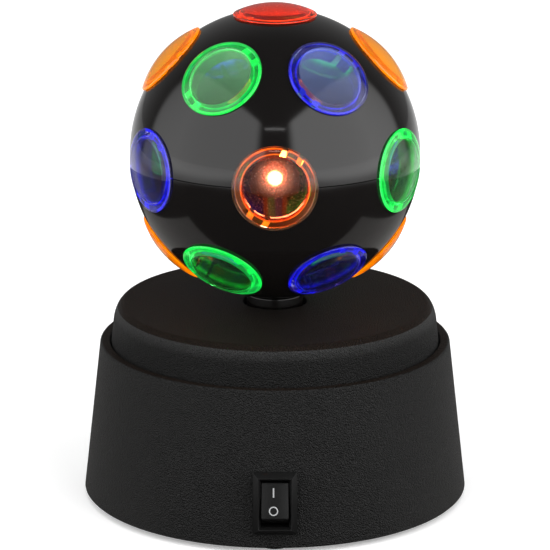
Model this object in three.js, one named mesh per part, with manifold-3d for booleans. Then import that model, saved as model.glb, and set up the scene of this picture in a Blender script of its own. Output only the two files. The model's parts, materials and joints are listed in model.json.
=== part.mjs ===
// A battery disco lamp: a black ball with coloured lens caps turns slowly on a hollow mast above a
// round black base, and three diodes on the mast shine out through the caps. A motor in the base
// turns the ball through three pairs of gears, and a rocker switch in the front wall starts it.
//
// Lengths are millimetres. The origin is on the ball's axis at table level, +Z is up, and the
// switch faces -Y.

import * as THREE from 'three';
import { mergeVertices } from 'three/addons/utils/BufferGeometryUtils.js';
import Module from 'manifold-3d';

const wasm = await Module();
wasm.setup();

// Driving sizes of the outside
const ball_radius = 35;
const ball_wall = 1.8;
const ball_clearance = 2;
const base_bottom_radius = 47;
const base_rim_radius = 42.7;
const base_height = 37.4;
const base_wall = 1.6;
const rim_thickness = 2;
const rim_width = 2.7;
const cap_draft = 0.5;
const cap_rise = 9.4;
const cap_wall = 2;
const shoulder_reach = 2.9;
const shoulder_drop = 5.6;
const neck_radius = 6.9;
const neck_gap = 0.76;
const neck_stem_radius = 5.8;
const edge_break = 0.45;

// Clearances
const seat_gap = 0.3;
const seam_gap = 0.2;
const running_gap = 0.1;
const overrun = 1;

// Lens caps
const lens_radius = 10.1;
const lens_proud = 1.6;
const lens_edge = 0.45;
const lens_skirt_radius = 9.2;
const lens_skirt_wall = 1.35;
const lens_hole_radius = 9.5;
const lens_crown_share = 0.6;
const lens_barb_reach = 0.7;
const lens_barb_height = 0.8;
const lens_slot_width = 1.4;
const lens_tab_width = 2.6;
const ring_latitude = 43;

// Feet, bottom plate, screws
const foot_radius = 4;
const foot_height = 1.2;
const foot_inset = 6.5;
const plate_thickness = 2;
const screw_inset = 6.2;
const screw_radius = 1.2;
const screw_head_radius = 2.5;
const bottom_screw_length = 8;
const boss_radius = 3.2;
const boss_height = 8;

// Battery bay
const cell_radius = 7.25;
const cell_length = 50.5;
const cell_nub_radius = 2.75;
const cell_nub_length = 1.2;
const cell_spacing = 15;
const spring_length = 3.5;
const spring_wire = 0.35;
const spring_radius = 3;
const spring_turns = 2.5;
const contact_thickness = 0.5;
const bay_wall = 1.4;
const door_thickness = 1.8;
const tongue_width = 8;
const tongue_reach = 1.8;
const tongue_thickness = 1;

// Drive: one module for all wheels. Shares are of the gear plate's radius, and the collar's of the
// motor's height.
const gear_module_share = 0.02016;
const pinion_teeth = 8;
const reduction_teeth = 32;
const drive_teeth = 40;
const gear_thickness = 2.4;
const gear_spacing = 0.6;
const axle_radius = 1;
const plate_drop = 11;
const gear_plate_thickness = 2;
const first_gear_place_share = 0.5914;
const motor_place_share = 0.613;
const motor_radius_share = 0.328;
const motor_nose_radius = 3;
const motor_nose_height = 0.8;
const motor_collar_wall = 1.5;
const motor_collar_share = 0.4;
const post_radius = 2.6;
const post_inset = 3.1;
const plate_screw_length = 7;

// Mast and diodes
const mast_radius = 3;
const mast_bore_radius = 1.8;
const mast_collar_gap = 0.65;
const mast_collar_height = 1.4;
const mast_foot_radius = 6;
const neck_spigot_radius = 5;
const clip_radius = 5.2;
const clip_thickness = 0.8;
const carrier_radius = 6;
const carrier_socket_depth = 3;
const carrier_roof = 1.5;
const led_radius = 2.5;
const led_flange_radius = 2.9;
const led_flange_thickness = 1;
const led_length = 8.6;
const led_drop = 3.5;
const led_seat_radius = 2.6;

// Rocker switch
const bezel_width = 10.5;
const bezel_height = 15;
const bezel_depth = 2;
const bezel_chamfer = 1.25;
const bezel_rim = 0.7;
const switch_clearance = 0.87;
const housing_depth = 12;
const housing_wall = 0.85;
const housing_floor = 1.5;
const terminal_width = 3;
const terminal_thickness = 0.8;
const terminal_length = 5;
const snap_wing = 0.8;
const rocker_width = 6.35;
const rocker_half_face = 4.2;
const rocker_half_length = 5.15;
const rocker_face_height = 3.95;
const rocker_pivot_depth = 2.15;
const rocker_dish = 0.2;
const rocker_tilt = 13;
const rocker_pin_radius = 0.8;
const rocker_pin_length = 0.6;

// Wiring
const lead_radius = 0.8;

// Facets
const turn_segments = 36;
const ball_segments = 24;
const hole_segments = 16;
const small_segments = 10;
const ball_rings = 5;
const inner_rings = 4;
const shoulder_steps = 3;
const spring_steps = 8;
const wire_sides = 5;
const lead_sides = 6;
const trunk_steps = 20;
const motor_branch_steps = 8;
const cell_branch_steps = 14;

// Worked-out heights and radii
const skirt_z = foot_height;
const rim_z = skirt_z + base_height;
const cap_z = rim_z + cap_rise;
const ball_z = cap_z + ball_clearance + ball_radius;
const under_cap_z = cap_z - cap_wall;
const plate_z = skirt_z + seat_gap;
const plate_top_z = plate_z + plate_thickness;
const gear_plate_top_z = under_cap_z - plate_drop;
const gear_plate_z = gear_plate_top_z - gear_plate_thickness;
const shell_inner_radius = ball_radius - ball_wall;
const neck_hole_radius = neck_radius + neck_gap;
const cap_foot_radius = base_rim_radius - rim_width;
const cap_shoulder_radius = cap_foot_radius - cap_draft;
const cap_inner_radius = cap_shoulder_radius - cap_wall;
const gear_plate_radius = cap_inner_radius - seat_gap;
const post_circle_radius = cap_inner_radius - post_inset;
const foot_circle_radius = base_bottom_radius - foot_inset;
const screw_circle_radius = base_bottom_radius - screw_inset;

const black_moulding = { color: 0x26262a, roughness: 0.7, metalness: 0 };
const gloss_black = { color: 0x0c0a0a, roughness: 0.15, metalness: 0 };
const steel = { color: 0xb4b6ba, roughness: 0.35, metalness: 0.9 };
const brass = { color: 0xb89048, roughness: 0.35, metalness: 0.9 };
const white_moulding = { color: 0xd9d8d0, roughness: 0.5, metalness: 0 };
const foot_rubber = { color: 0x161618, roughness: 0.9, metalness: 0 };
const cell_sleeve = { color: 0x30506a, roughness: 0.4, metalness: 0.3 };
const switch_black = { color: 0x1c1c1e, roughness: 0.45, metalness: 0 };
const rocker_black = { color: 0x242426, roughness: 0.4, metalness: 0 };
const lead_black = { color: 0x1a1a1c, roughness: 0.6, metalness: 0 };
const clear_moulding = { roughness: 0.08, metalness: 0, transparent: true, opacity: 0.5 };
const lens_colours = { red: 0xe01408, green: 0x00c828, blue: 0x1414e6, amber: 0xff9600 };

const lamp = new THREE.Group();
const turningBall = new THREE.Group();
turningBall.position.z = ball_z;
lamp.add(turningBall);

// Helpers

function radians(degrees) {
  return THREE.MathUtils.degToRad(degrees);
}

// The skirt's outer radius at a height
function baseRadiusAt(z) {
  return base_bottom_radius - (base_bottom_radius - base_rim_radius) * (z - skirt_z) / base_height;
}

// The corner radius of a many-sided hole whose flats stay clear of a round of this radius
function holeAround(radius, gap, segments) {
  return (radius + gap) / Math.cos(Math.PI / segments);
}

function signedVolume(position, index) {
  const a = new THREE.Vector3();
  const b = new THREE.Vector3();
  const c = new THREE.Vector3();
  let volume = 0;
  for (let i = 0; i < index.length; i += 3) {
    a.fromArray(position, 3 * index[i]);
    b.fromArray(position, 3 * index[i + 1]);
    c.fromArray(position, 3 * index[i + 2]);
    volume += a.dot(b.cross(c));
  }
  return volume;
}

// A closed three.js geometry as a solid: welded, without the empty triangles at a lathe's poles
function solid(geometry) {
  const bare = new THREE.BufferGeometry();
  bare.setAttribute('position', geometry.getAttribute('position'));
  if (geometry.index) bare.setIndex(geometry.index);
  const welded = mergeVertices(bare);
  const kept = [];
  const index = welded.index.array;
  for (let i = 0; i < index.length; i += 3) {
    const [a, b, c] = [index[i], index[i + 1], index[i + 2]];
    if (a !== b && b !== c && c !== a) kept.push(a, b, c);
  }
  const vertProperties = new Float32Array(welded.getAttribute('position').array);
  if (signedVolume(vertProperties, kept) < 0) kept.reverse();
  return new wasm.Manifold(new wasm.Mesh({ numProp: 3, vertProperties, triVerts: new Uint32Array(kept) }));
}

function geometryOf(shape) {
  const mesh = shape.getMesh();
  const geometry = new THREE.BufferGeometry();
  geometry.setAttribute('position', new THREE.BufferAttribute(new Float32Array(mesh.vertProperties), 3));
  geometry.setIndex(new THREE.BufferAttribute(new Uint32Array(mesh.triVerts), 1));
  geometry.computeVertexNormals();
  return geometry;
}

function join(first, ...others) {
  return others.reduce((whole, other) => whole.add(other), first);
}

function cut(first, ...others) {
  return others.reduce((whole, other) => whole.subtract(other), first);
}

function addPiece(parent, name, shape, look) {
  const mesh = new THREE.Mesh(geometryOf(shape), new THREE.MeshStandardMaterial(look));
  mesh.name = name;
  parent.add(mesh);
  return mesh;
}

// A profile of [radius, height] pairs turned about Z; its first corner line faces -Y
function turned(profile, segments = turn_segments) {
  const closed = profile[0][0] > 0 ? [...profile, profile[0]] : profile;
  const points = closed.map(([r, z]) => new THREE.Vector2(r, z));
  return solid(new THREE.LatheGeometry(points, segments).rotateX(Math.PI / 2));
}

// An upright round bar from one height to another
function bar(radius, from_z, to_z, segments = small_segments, x = 0, y = 0) {
  const geometry = new THREE.CylinderGeometry(radius, radius, to_z - from_z, segments);
  geometry.rotateX(Math.PI / 2).translate(x, y, (from_z + to_z) / 2);
  return solid(geometry);
}

// A box from its lowest to its highest corner
function block([x0, y0, z0], [x1, y1, z1]) {
  const geometry = new THREE.BoxGeometry(x1 - x0, y1 - y0, z1 - z0);
  return solid(geometry.translate((x0 + x1) / 2, (y0 + y1) / 2, (z0 + z1) / 2));
}

// A flat outline of [x, y] points drawn up by a height
function drawnUp(outline, height) {
  const shape = new THREE.Shape(outline.map(([x, y]) => new THREE.Vector2(x, y)));
  return solid(new THREE.ExtrudeGeometry(shape, { depth: height, bevelEnabled: false }));
}

// A solid moved by a three.js matrix
function placed(shape, matrix) {
  return solid(geometryOf(shape).applyMatrix4(matrix));
}

function moved(shape, x, y, z) {
  return placed(shape, new THREE.Matrix4().makeTranslation(x, y, z));
}

function spun(shape, angle) {
  return placed(shape, new THREE.Matrix4().makeRotationZ(angle));
}

// A round section drawn along a smooth curve through points
function tube(points, radius, steps, sides) {
  const corners = [];
  for (let i = 0; i < sides; i++) {
    const angle = 2 * Math.PI * i / sides;
    corners.push(new THREE.Vector2(radius * Math.cos(angle), radius * Math.sin(angle)));
  }
  const path = new THREE.CatmullRomCurve3(points.map(([x, y, z]) => new THREE.Vector3(x, y, z)));
  const section = new THREE.Shape(corners);
  return solid(new THREE.ExtrudeGeometry(section, { steps, extrudePath: path, bevelEnabled: false }));
}

// Where things stand round the axis, by angle from +X in degrees
const screw_angles = [90, 203, 337];
const foot_angles = { foot_front: 270, foot_right: 30, foot_left: 150 };
const post_angles = [150, 250, 345];

function onCircle(radius, degrees) {
  return [radius * Math.cos(radians(degrees)), radius * Math.sin(radians(degrees))];
}

// Base body: a conical skirt with an inward rim, and a bead that traps the top cap's flange
const flange_top_z = rim_z - rim_thickness - seat_gap;
const flange_z = flange_top_z - rim_thickness;
const flange_radius = baseRadiusAt(flange_top_z) - base_wall - seat_gap;
const bead_z = flange_z - seat_gap - rim_thickness / 2;
const wall_tilt = Math.atan((base_bottom_radius - base_rim_radius) / base_height);

// The switch stands as low as its housing clears the bottom plate
const window_width = bezel_width - 2 * (bezel_chamfer + bezel_rim);
const window_height = bezel_height - 2 * (bezel_chamfer + bezel_rim);
const housing_width = window_width + 2 * housing_wall;
const housing_height = window_height + 2 * housing_wall;
const housing_dip = housing_depth * Math.max(0, Math.sin(wall_tilt));
const housing_drop = housing_height / 2 * Math.cos(wall_tilt) + housing_dip;
const switch_height = plate_top_z + switch_clearance + housing_drop;
const switch_radius = baseRadiusAt(switch_height);

// The switch's own frame: x to the right, y up the wall, z out of the wall
const switch_frame = new THREE.Matrix4()
  .makeTranslation(0, -switch_radius, switch_height)
  .multiply(new THREE.Matrix4().makeRotationX(Math.PI / 2 - wall_tilt));

function inSwitchFrame(shape) {
  return placed(shape, switch_frame);
}

function bottomBoss(angle) {
  const top = plate_top_z + seat_gap + boss_height;
  const [x, y] = onCircle(screw_circle_radius, angle);
  const boss = bar(boss_radius, plate_top_z + seat_gap, top, small_segments, x, y);
  const web_end = baseRadiusAt(top) - base_wall / 2;
  const half = boss_radius / 2;
  const web = block([screw_circle_radius, -half, plate_top_z + seat_gap], [web_end, half, top]);
  return join(boss, spun(web, radians(angle)));
}

function screwHole(angle, from_z, to_z) {
  const [x, y] = onCircle(screw_circle_radius, angle);
  return bar(holeAround(screw_radius, running_gap, small_segments), from_z, to_z, small_segments, x, y);
}

function makeBaseBody() {
  const mouth_radius = cap_foot_radius + seat_gap;
  const profile = [
    [base_bottom_radius, skirt_z],
    [baseRadiusAt(rim_z - edge_break), rim_z - edge_break],
    [base_rim_radius - edge_break, rim_z],
    [mouth_radius, rim_z],
    [mouth_radius, rim_z - rim_thickness],
    [baseRadiusAt(rim_z - rim_thickness) - base_wall, rim_z - rim_thickness],
    [baseRadiusAt(flange_z) - base_wall, flange_z - seat_gap / 2],
    [flange_radius - seat_gap, bead_z + rim_thickness / 2],
    [flange_radius - seat_gap, bead_z],
    [baseRadiusAt(bead_z) - base_wall, bead_z - rim_thickness / 2],
    [base_bottom_radius - base_wall, skirt_z],
  ];
  const wall = join(turned(profile), ...screw_angles.map(bottomBoss));
  const half_width = housing_width / 2 + seat_gap;
  const half_height = housing_height / 2 + seat_gap;
  const opening = block(
    [-half_width, -half_height, -housing_depth], [half_width, half_height, housing_depth]);
  const hole_top = plate_top_z + bottom_screw_length;
  const holes = screw_angles.map((angle) => screwHole(angle, plate_top_z, hole_top));
  return cut(wall, inSwitchFrame(opening), ...holes);
}

addPiece(lamp, 'base_body', makeBaseBody(), black_moulding);

// Top cap: a raised cap with an oval shoulder, posts for the gear plate and seats for the axles
const gear_module = gear_plate_radius * gear_module_share;
const first_gear_radius_from_ball = gear_plate_radius * first_gear_place_share;
const motor_radius_from_ball = gear_plate_radius * motor_place_share;
const motor_radius = gear_plate_radius * motor_radius_share;
const second_gear_radius_from_ball = gear_module * (drive_teeth + pinion_teeth) / 2;
const reduction_distance = gear_module * (reduction_teeth + pinion_teeth) / 2;

// The angle at the ball's axis between two centres that lie one reduction pair apart
function angleBetween(near, far) {
  const cosine = (near ** 2 + far ** 2 - reduction_distance ** 2) / (2 * near * far);
  return THREE.MathUtils.radToDeg(Math.acos(cosine));
}

const motor_angle = 90;
const first_gear_angle = motor_angle - angleBetween(first_gear_radius_from_ball, motor_radius_from_ball);
const second_gear_angle =
  first_gear_angle - angleBetween(second_gear_radius_from_ball, first_gear_radius_from_ball);
const motor_place = onCircle(motor_radius_from_ball, motor_angle);
const first_gear_place = onCircle(first_gear_radius_from_ball, first_gear_angle);
const second_gear_place = onCircle(second_gear_radius_from_ball, second_gear_angle);

const level_a_z = gear_plate_top_z + gear_spacing;
const level_b_z = level_a_z + gear_thickness + gear_spacing;
const level_c_z = level_b_z + gear_thickness + gear_spacing;

function shoulderPoints() {
  const points = [];
  for (let i = 0; i <= shoulder_steps; i++) {
    const angle = Math.PI / 2 * i / shoulder_steps;
    points.push([
      cap_shoulder_radius - shoulder_reach * (1 - Math.cos(angle)),
      cap_z - shoulder_drop * (1 - Math.sin(angle)),
    ]);
  }
  return points;
}

function axleSeat([x, y], wheel_top) {
  const seat_z = wheel_top + seat_gap;
  const seat = bar(2 * axle_radius, seat_z, under_cap_z + overrun, small_segments, x, y);
  const hole_radius = holeAround(axle_radius, running_gap, small_segments);
  const hole = bar(hole_radius, seat_z - overrun, under_cap_z, small_segments, x, y);
  return { seat, hole };
}

function makeTopCap() {
  const profile = [
    [flange_radius, flange_z],
    [flange_radius, flange_top_z],
    [cap_foot_radius, flange_top_z],
    [cap_foot_radius, rim_z],
    ...shoulderPoints(),
    [neck_hole_radius + edge_break, cap_z],
    [neck_hole_radius, cap_z - edge_break],
    [neck_hole_radius, under_cap_z],
    [cap_inner_radius, under_cap_z],
    [cap_foot_radius - cap_wall, flange_top_z],
    [cap_foot_radius - cap_wall, flange_z],
  ];
  const post_z = gear_plate_top_z + seat_gap;
  const posts = post_angles.map((angle) =>
    bar(post_radius, post_z, under_cap_z + overrun, small_segments, ...onCircle(post_circle_radius, angle)));
  const hole_radius = holeAround(screw_radius, running_gap, small_segments);
  const hole_top = gear_plate_z + plate_screw_length;
  const holes = post_angles.map((angle) =>
    bar(hole_radius, post_z - overrun, hole_top, small_segments, ...onCircle(post_circle_radius, angle)));
  const first = axleSeat(first_gear_place, level_b_z + gear_thickness);
  const second = axleSeat(second_gear_place, level_c_z + gear_thickness);
  const cap = join(turned(profile), ...posts, first.seat, second.seat);
  return cut(cap, ...holes, first.hole, second.hole);
}

addPiece(lamp, 'top_cap', makeTopCap(), black_moulding);

// Bottom plate with the battery bay, its door and the feet
const bay_half_length = (cell_length + spring_length + 3 * seat_gap) / 2 + contact_thickness + seat_gap;
const bay_half_width = cell_spacing + cell_radius + seat_gap;
const door_top_z = plate_z + door_thickness;
const cell_z = door_top_z + seat_gap + cell_radius;
const bay_roof_z = cell_z + cell_radius + seat_gap;
const bottom_plate_radius = baseRadiusAt(plate_top_z) - base_wall - seat_gap;

function bayBox(grow, from_z, to_z) {
  const length = bay_half_length + grow;
  const width = bay_half_width + grow;
  return block([-length, -width, from_z], [length, width, to_z]);
}

function countersink(angle) {
  const [x, y] = onCircle(screw_circle_radius, angle);
  const wide = holeAround(screw_head_radius, seat_gap, small_segments);
  const narrow = holeAround(screw_radius, seat_gap, small_segments);
  const profile = [
    [0, plate_z - overrun],
    [wide, plate_z - overrun],
    [wide, plate_z],
    [narrow, plate_top_z],
    [narrow, plate_top_z + overrun],
    [0, plate_top_z + overrun],
  ];
  return moved(turned(profile, small_segments), x, y, 0);
}

function makeBottomPlate() {
  const disc = bar(bottom_plate_radius, plate_z, plate_top_z, turn_segments);
  const bay = bayBox(bay_wall, plate_z, bay_roof_z + bay_wall);
  const hollow = bayBox(0, plate_z - overrun, bay_roof_z);
  const slot_half = tongue_width / 2 + seat_gap;
  const slot_z = plate_top_z;
  const slot_top = slot_z + tongue_thickness + tongue_reach + 2 * seat_gap;
  const slots = [-1, 1].map((side) => {
    const x = side * bay_half_length / 2;
    return block([x - slot_half, 0, slot_z], [x + slot_half, bay_half_width + bay_wall + overrun, slot_top]);
  });
  return cut(join(disc, bay), hollow, ...slots, ...screw_angles.map(countersink));
}

// The door hooks two tongues over the plate's rear edge and swings about them
function makeBatteryDoor() {
  const length = bay_half_length - seat_gap;
  const width = bay_half_width - seat_gap;
  const panel = block([-length, -width, plate_z], [length, width, door_top_z]);
  const tongue_z = plate_top_z + seat_gap;
  const tongues = [-1, 1].map((side) => {
    const x = side * bay_half_length / 2;
    const half = tongue_width / 2;
    const top = tongue_z + tongue_thickness;
    const root = block([x - half, width - tongue_reach, plate_z], [x + half, width, top]);
    const hook = block([x - half, width - tongue_reach, tongue_z], [x + half, width + tongue_reach, top]);
    return join(root, hook);
  });
  const latch_half = tongue_width / 2;
  const latch_top = cell_z - cell_radius;
  const latch = block([-latch_half, -width, plate_z], [latch_half, contact_thickness - width, latch_top]);
  return join(panel, ...tongues, latch);
}

function makeFoot() {
  const profile = [
    [0, 0],
    [foot_radius - edge_break, 0],
    [foot_radius, edge_break],
    [foot_radius, foot_height],
    [0, foot_height],
  ];
  return turned(profile, hole_segments);
}

addPiece(lamp, 'bottom_plate', makeBottomPlate(), black_moulding);
addPiece(lamp, 'battery_door', makeBatteryDoor(), black_moulding);
for (const [name, angle] of Object.entries(foot_angles)) {
  const foot = addPiece(lamp, name, makeFoot(), foot_rubber);
  foot.position.set(...onCircle(foot_circle_radius, angle), 0);
}

// Screws: countersunk ones hold the bottom plate, pan-headed ones hold the gear plate
function makeBottomScrew() {
  const head_z = plate_z + seat_gap;
  const head_height = screw_head_radius - screw_radius;
  const profile = [
    [0, head_z],
    [screw_head_radius - seat_gap, head_z],
    [screw_radius, head_z + head_height],
    [screw_radius, plate_z + bottom_screw_length],
    [0, plate_z + bottom_screw_length + screw_radius],
  ];
  return turned(profile, small_segments);
}

function makePlateScrew() {
  const head_top = gear_plate_z - seat_gap;
  const profile = [
    [0, head_top - screw_head_radius / 2],
    [screw_head_radius, head_top - screw_head_radius / 2],
    [screw_head_radius, head_top],
    [screw_radius, head_top],
    [screw_radius, gear_plate_z + plate_screw_length - screw_radius - seat_gap],
    [0, gear_plate_z + plate_screw_length - seat_gap],
  ];
  return turned(profile, small_segments);
}

screw_angles.forEach((angle, i) => {
  const screw = addPiece(lamp, `bottom_screw_${i + 1}`, makeBottomScrew(), steel);
  screw.position.set(...onCircle(screw_circle_radius, angle), 0);
});
post_angles.forEach((angle, i) => {
  const screw = addPiece(lamp, `gear_plate_screw_${i + 1}`, makePlateScrew(), steel);
  screw.position.set(...onCircle(post_circle_radius, angle), 0);
});

// Cells and contacts. Each cell's nub points along +X before it is turned round.
const contact_x = bay_half_length - seat_gap - contact_thickness;

function makeCell() {
  const tip = contact_x - seat_gap;
  const profile = [
    [0, tip - cell_length],
    [cell_radius - edge_break, tip - cell_length],
    [cell_radius, tip - cell_length + edge_break],
    [cell_radius, tip - cell_nub_length],
    [cell_nub_radius, tip - cell_nub_length],
    [cell_nub_radius, tip],
    [0, tip],
  ];
  const upright = turned(profile, hole_segments);
  return placed(upright, new THREE.Matrix4().makeRotationY(Math.PI / 2));
}

// A conical spring that stands on the inner face of a plate at +X and points to -X
function makeSpring(y) {
  const points = [];
  const steps = spring_turns * spring_steps;
  for (let i = 0; i <= steps; i++) {
    const angle = 2 * Math.PI * i / spring_steps;
    const radius = spring_radius * (1 - i / steps / 2);
    const reach = contact_x - (spring_length - spring_wire) * i / steps;
    points.push([reach, y + radius * Math.cos(angle), cell_z + radius * Math.sin(angle)]);
  }
  return tube(points, spring_wire, steps, wire_sides);
}

// A plate across one or two cells at +X, with a spring where a cell's flat end comes
function makeContact(y_from, y_to, spring_y) {
  const half_height = cell_radius * 2 / 3;
  const plate = block(
    [contact_x, y_from - half_height, cell_z - half_height],
    [contact_x + contact_thickness, y_to + half_height, cell_z + half_height]);
  return spring_y === null ? plate : join(plate, makeSpring(spring_y));
}

const cell_rows = [-cell_spacing, 0, cell_spacing];
cell_rows.forEach((y, i) => {
  const cell = addPiece(lamp, `battery_cell_${i + 1}`, makeCell(), cell_sleeve);
  cell.position.set(0, y, cell_z);
  if (i % 2 === 1) cell.rotation.z = Math.PI;
});

// Contacts at -X are made at +X and turned round, so their rows change sides
addPiece(lamp, 'contact_positive', makeContact(-cell_spacing, -cell_spacing, null), steel);
addPiece(lamp, 'contact_bridge_right', makeContact(0, cell_spacing, 0), steel);
const left_bridge = makeContact(0, cell_spacing, cell_spacing);
addPiece(lamp, 'contact_bridge_left', left_bridge, steel).rotation.z = Math.PI;
const left_end = makeContact(-cell_spacing, -cell_spacing, -cell_spacing);
addPiece(lamp, 'contact_negative', left_end, steel).rotation.z = Math.PI;

// Gear wheels. A tooth has four corners, and its shares are of one pitch on the pitch circle.
const tooth_root_share = 0.58;
const tooth_tip_share = 0.2;
const addendum = gear_module;
const dedendum = gear_module * 5 / 4;

function gearOutline(teeth, first_tooth_angle) {
  const pitch_radius = gear_module * teeth / 2;
  const pitch_angle = 2 * Math.PI / teeth;
  const corners = [
    [pitch_radius - dedendum, -tooth_root_share / 2],
    [pitch_radius + addendum, -tooth_tip_share / 2],
    [pitch_radius + addendum, tooth_tip_share / 2],
    [pitch_radius - dedendum, tooth_root_share / 2],
  ];
  const outline = [];
  for (let i = 0; i < teeth; i++) {
    for (const [radius, share] of corners) {
      const angle = first_tooth_angle + (i + share) * pitch_angle;
      outline.push([radius * Math.cos(angle), radius * Math.sin(angle)]);
    }
  }
  return outline;
}

function toothed(teeth, from_z, to_z, first_tooth_angle) {
  return moved(drawnUp(gearOutline(teeth, first_tooth_angle), to_z - from_z), 0, 0, from_z);
}

function directionFrom([x0, y0], [x1, y1]) {
  return Math.atan2(y1 - y0, x1 - x0);
}

// A gap, half a pitch off a tooth, faces the mating wheel
function gapTowards(angle, teeth) {
  return angle + Math.PI / teeth;
}

// Two wheels on one hub: the large one meets the wheel before it, the small one the wheel after it
function makeReductionGear(place, large_mate, small_mate, from_z, to_z) {
  const large = toothed(
    reduction_teeth, from_z, from_z + gear_thickness,
    gapTowards(directionFrom(place, large_mate), reduction_teeth));
  const small = toothed(pinion_teeth, from_z, to_z, directionFrom(place, small_mate));
  const bore_radius = holeAround(axle_radius, running_gap, small_segments);
  return cut(join(large, small), bar(bore_radius, from_z - overrun, to_z + overrun));
}

const first_gear = addPiece(lamp, 'first_reduction_gear', makeReductionGear(
  first_gear_place, motor_place, second_gear_place, level_a_z, level_b_z + gear_thickness), white_moulding);
first_gear.position.set(...first_gear_place, 0);
const second_gear = addPiece(lamp, 'second_reduction_gear', makeReductionGear(
  second_gear_place, first_gear_place, [0, 0], level_b_z, level_c_z + gear_thickness), white_moulding);
second_gear.position.set(...second_gear_place, 0);

function makeDriveGear() {
  const towards = directionFrom([0, 0], second_gear_place);
  const top = level_c_z + gear_thickness;
  const wheel = toothed(drive_teeth, level_c_z, top, gapTowards(towards, drive_teeth));
  const bore_radius = holeAround(neck_spigot_radius, seat_gap, turn_segments / 2);
  return cut(wheel, bar(bore_radius, level_c_z - overrun, top + overrun, turn_segments / 2));
}

addPiece(lamp, 'ball_drive_gear', makeDriveGear(), white_moulding);

// Axles stand in the gear plate and reach up into the seats under the cap
function makeAxle() {
  return bar(axle_radius, gear_plate_z, under_cap_z - seat_gap);
}

addPiece(lamp, 'first_gear_axle', makeAxle(), steel).position.set(...first_gear_place, 0);
addPiece(lamp, 'second_gear_axle', makeAxle(), steel).position.set(...second_gear_place, 0);

// Motor: a flat can hung under the gear plate, its shaft with the pinion coming up through it. It
// fills the height down to the battery bay.
const motor_top_z = gear_plate_z - seat_gap;
const motor_height = motor_top_z - bay_roof_z - bay_wall - 2 * seat_gap;

function makeMotorCan() {
  const nose_top = motor_top_z + motor_nose_height;
  const profile = [
    [0, motor_top_z - motor_height],
    [motor_radius - edge_break, motor_top_z - motor_height],
    [motor_radius, motor_top_z - motor_height + edge_break],
    [motor_radius, motor_top_z],
    [motor_nose_radius, motor_top_z],
    [motor_nose_radius, nose_top],
    [0, nose_top],
  ];
  const bore_radius = holeAround(axle_radius, running_gap, small_segments);
  const bore = bar(bore_radius, motor_top_z - motor_height / 2, nose_top + overrun);
  return cut(turned(profile, turn_segments / 2), bore);
}

function makeMotorShaft() {
  return bar(axle_radius, motor_top_z - motor_height / 2 + seat_gap, level_a_z + gear_thickness);
}

function makeMotorPinion() {
  const wheel = toothed(
    pinion_teeth, level_a_z, level_a_z + gear_thickness, directionFrom(motor_place, first_gear_place));
  const bore_radius = holeAround(axle_radius, running_gap, small_segments);
  return cut(wheel, bar(bore_radius, level_a_z - overrun, level_b_z));
}

addPiece(lamp, 'motor_can', makeMotorCan(), steel).position.set(...motor_place, 0);
addPiece(lamp, 'motor_shaft', makeMotorShaft(), steel).position.set(...motor_place, 0);
addPiece(lamp, 'motor_pinion', makeMotorPinion(), brass).position.set(...motor_place, 0);

// Gear plate: a round plate under the cap's posts with a collar round the motor
function makeGearPlate() {
  const plate = bar(gear_plate_radius, gear_plate_z, gear_plate_top_z, turn_segments);
  const collar_inner = holeAround(motor_radius, seat_gap, turn_segments / 2);
  const collar_outer = motor_radius + seat_gap + motor_collar_wall;
  const collar_z = gear_plate_z - motor_height * motor_collar_share;
  const collar = bar(collar_outer, collar_z, gear_plate_top_z, turn_segments / 2, ...motor_place);
  const recess = bar(collar_inner, collar_z - overrun, gear_plate_z, turn_segments / 2, ...motor_place);
  const through = (radius, gap, place) => bar(
    holeAround(radius, gap, small_segments), gear_plate_z - overrun, gear_plate_top_z + overrun,
    small_segments, ...place);
  const holes = [
    through(mast_radius, seat_gap, [0, 0]),
    through(motor_nose_radius, seat_gap, motor_place),
    through(axle_radius, running_gap, first_gear_place),
    through(axle_radius, running_gap, second_gear_place),
    ...post_angles.map((angle) => through(screw_radius, seat_gap, onCircle(post_circle_radius, angle))),
  ];
  return cut(join(plate, collar), recess, ...holes);
}

addPiece(lamp, 'gear_plate', makeGearPlate(), white_moulding);

// Mast: the fixed hollow axle. Its collar carries the neck, and its bore takes the diodes' lead.
const neck_z = level_c_z - gear_spacing / 2;
const reduction_gear_radius = gear_module * reduction_teeth / 2 + addendum;
const mast_collar_radius = second_gear_radius_from_ball - reduction_gear_radius - mast_collar_gap;
const led_z = ball_z - led_drop;
const mast_top_z = led_z - led_radius - 2 * seat_gap;
const carrier_z = mast_top_z - carrier_socket_depth;
const carrier_top_z = led_z + led_radius + carrier_roof;

function makeMast() {
  const foot_z = gear_plate_top_z + seat_gap;
  const collar_z = neck_z - seat_gap - mast_collar_height;
  const profile = [
    [mast_bore_radius, gear_plate_z - seat_gap],
    [mast_radius, gear_plate_z - seat_gap],
    [mast_radius, foot_z],
    [mast_foot_radius, foot_z],
    [mast_foot_radius, foot_z + mast_collar_height],
    [mast_radius, foot_z + mast_collar_height],
    [mast_radius, collar_z],
    [mast_collar_radius, collar_z],
    [mast_collar_radius, collar_z + mast_collar_height],
    [mast_radius, collar_z + mast_collar_height],
    [mast_radius, mast_top_z],
    [mast_bore_radius, mast_top_z],
  ];
  return turned(profile, small_segments);
}

addPiece(lamp, 'led_mast', makeMast(), steel);

// The neck, the lower half shell that is glued on its stem, the upper half shell and the lenses.
// Everything here is measured from the ball's centre.
const neck_bottom = neck_z - ball_z;
const spigot_top = level_c_z + gear_thickness + seat_gap - ball_z;
const neck_bore_radius = holeAround(mast_radius, running_gap, ball_segments);
const flat_share = Math.cos(Math.PI / ball_segments) * Math.cos(Math.PI / (4 * inner_rings));
const flat_inner_radius = shell_inner_radius * flat_share;
const lip_radius = shell_inner_radius - 2 * seat_gap;
const lip_wall = 1;
const lip_height = 2;

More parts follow.
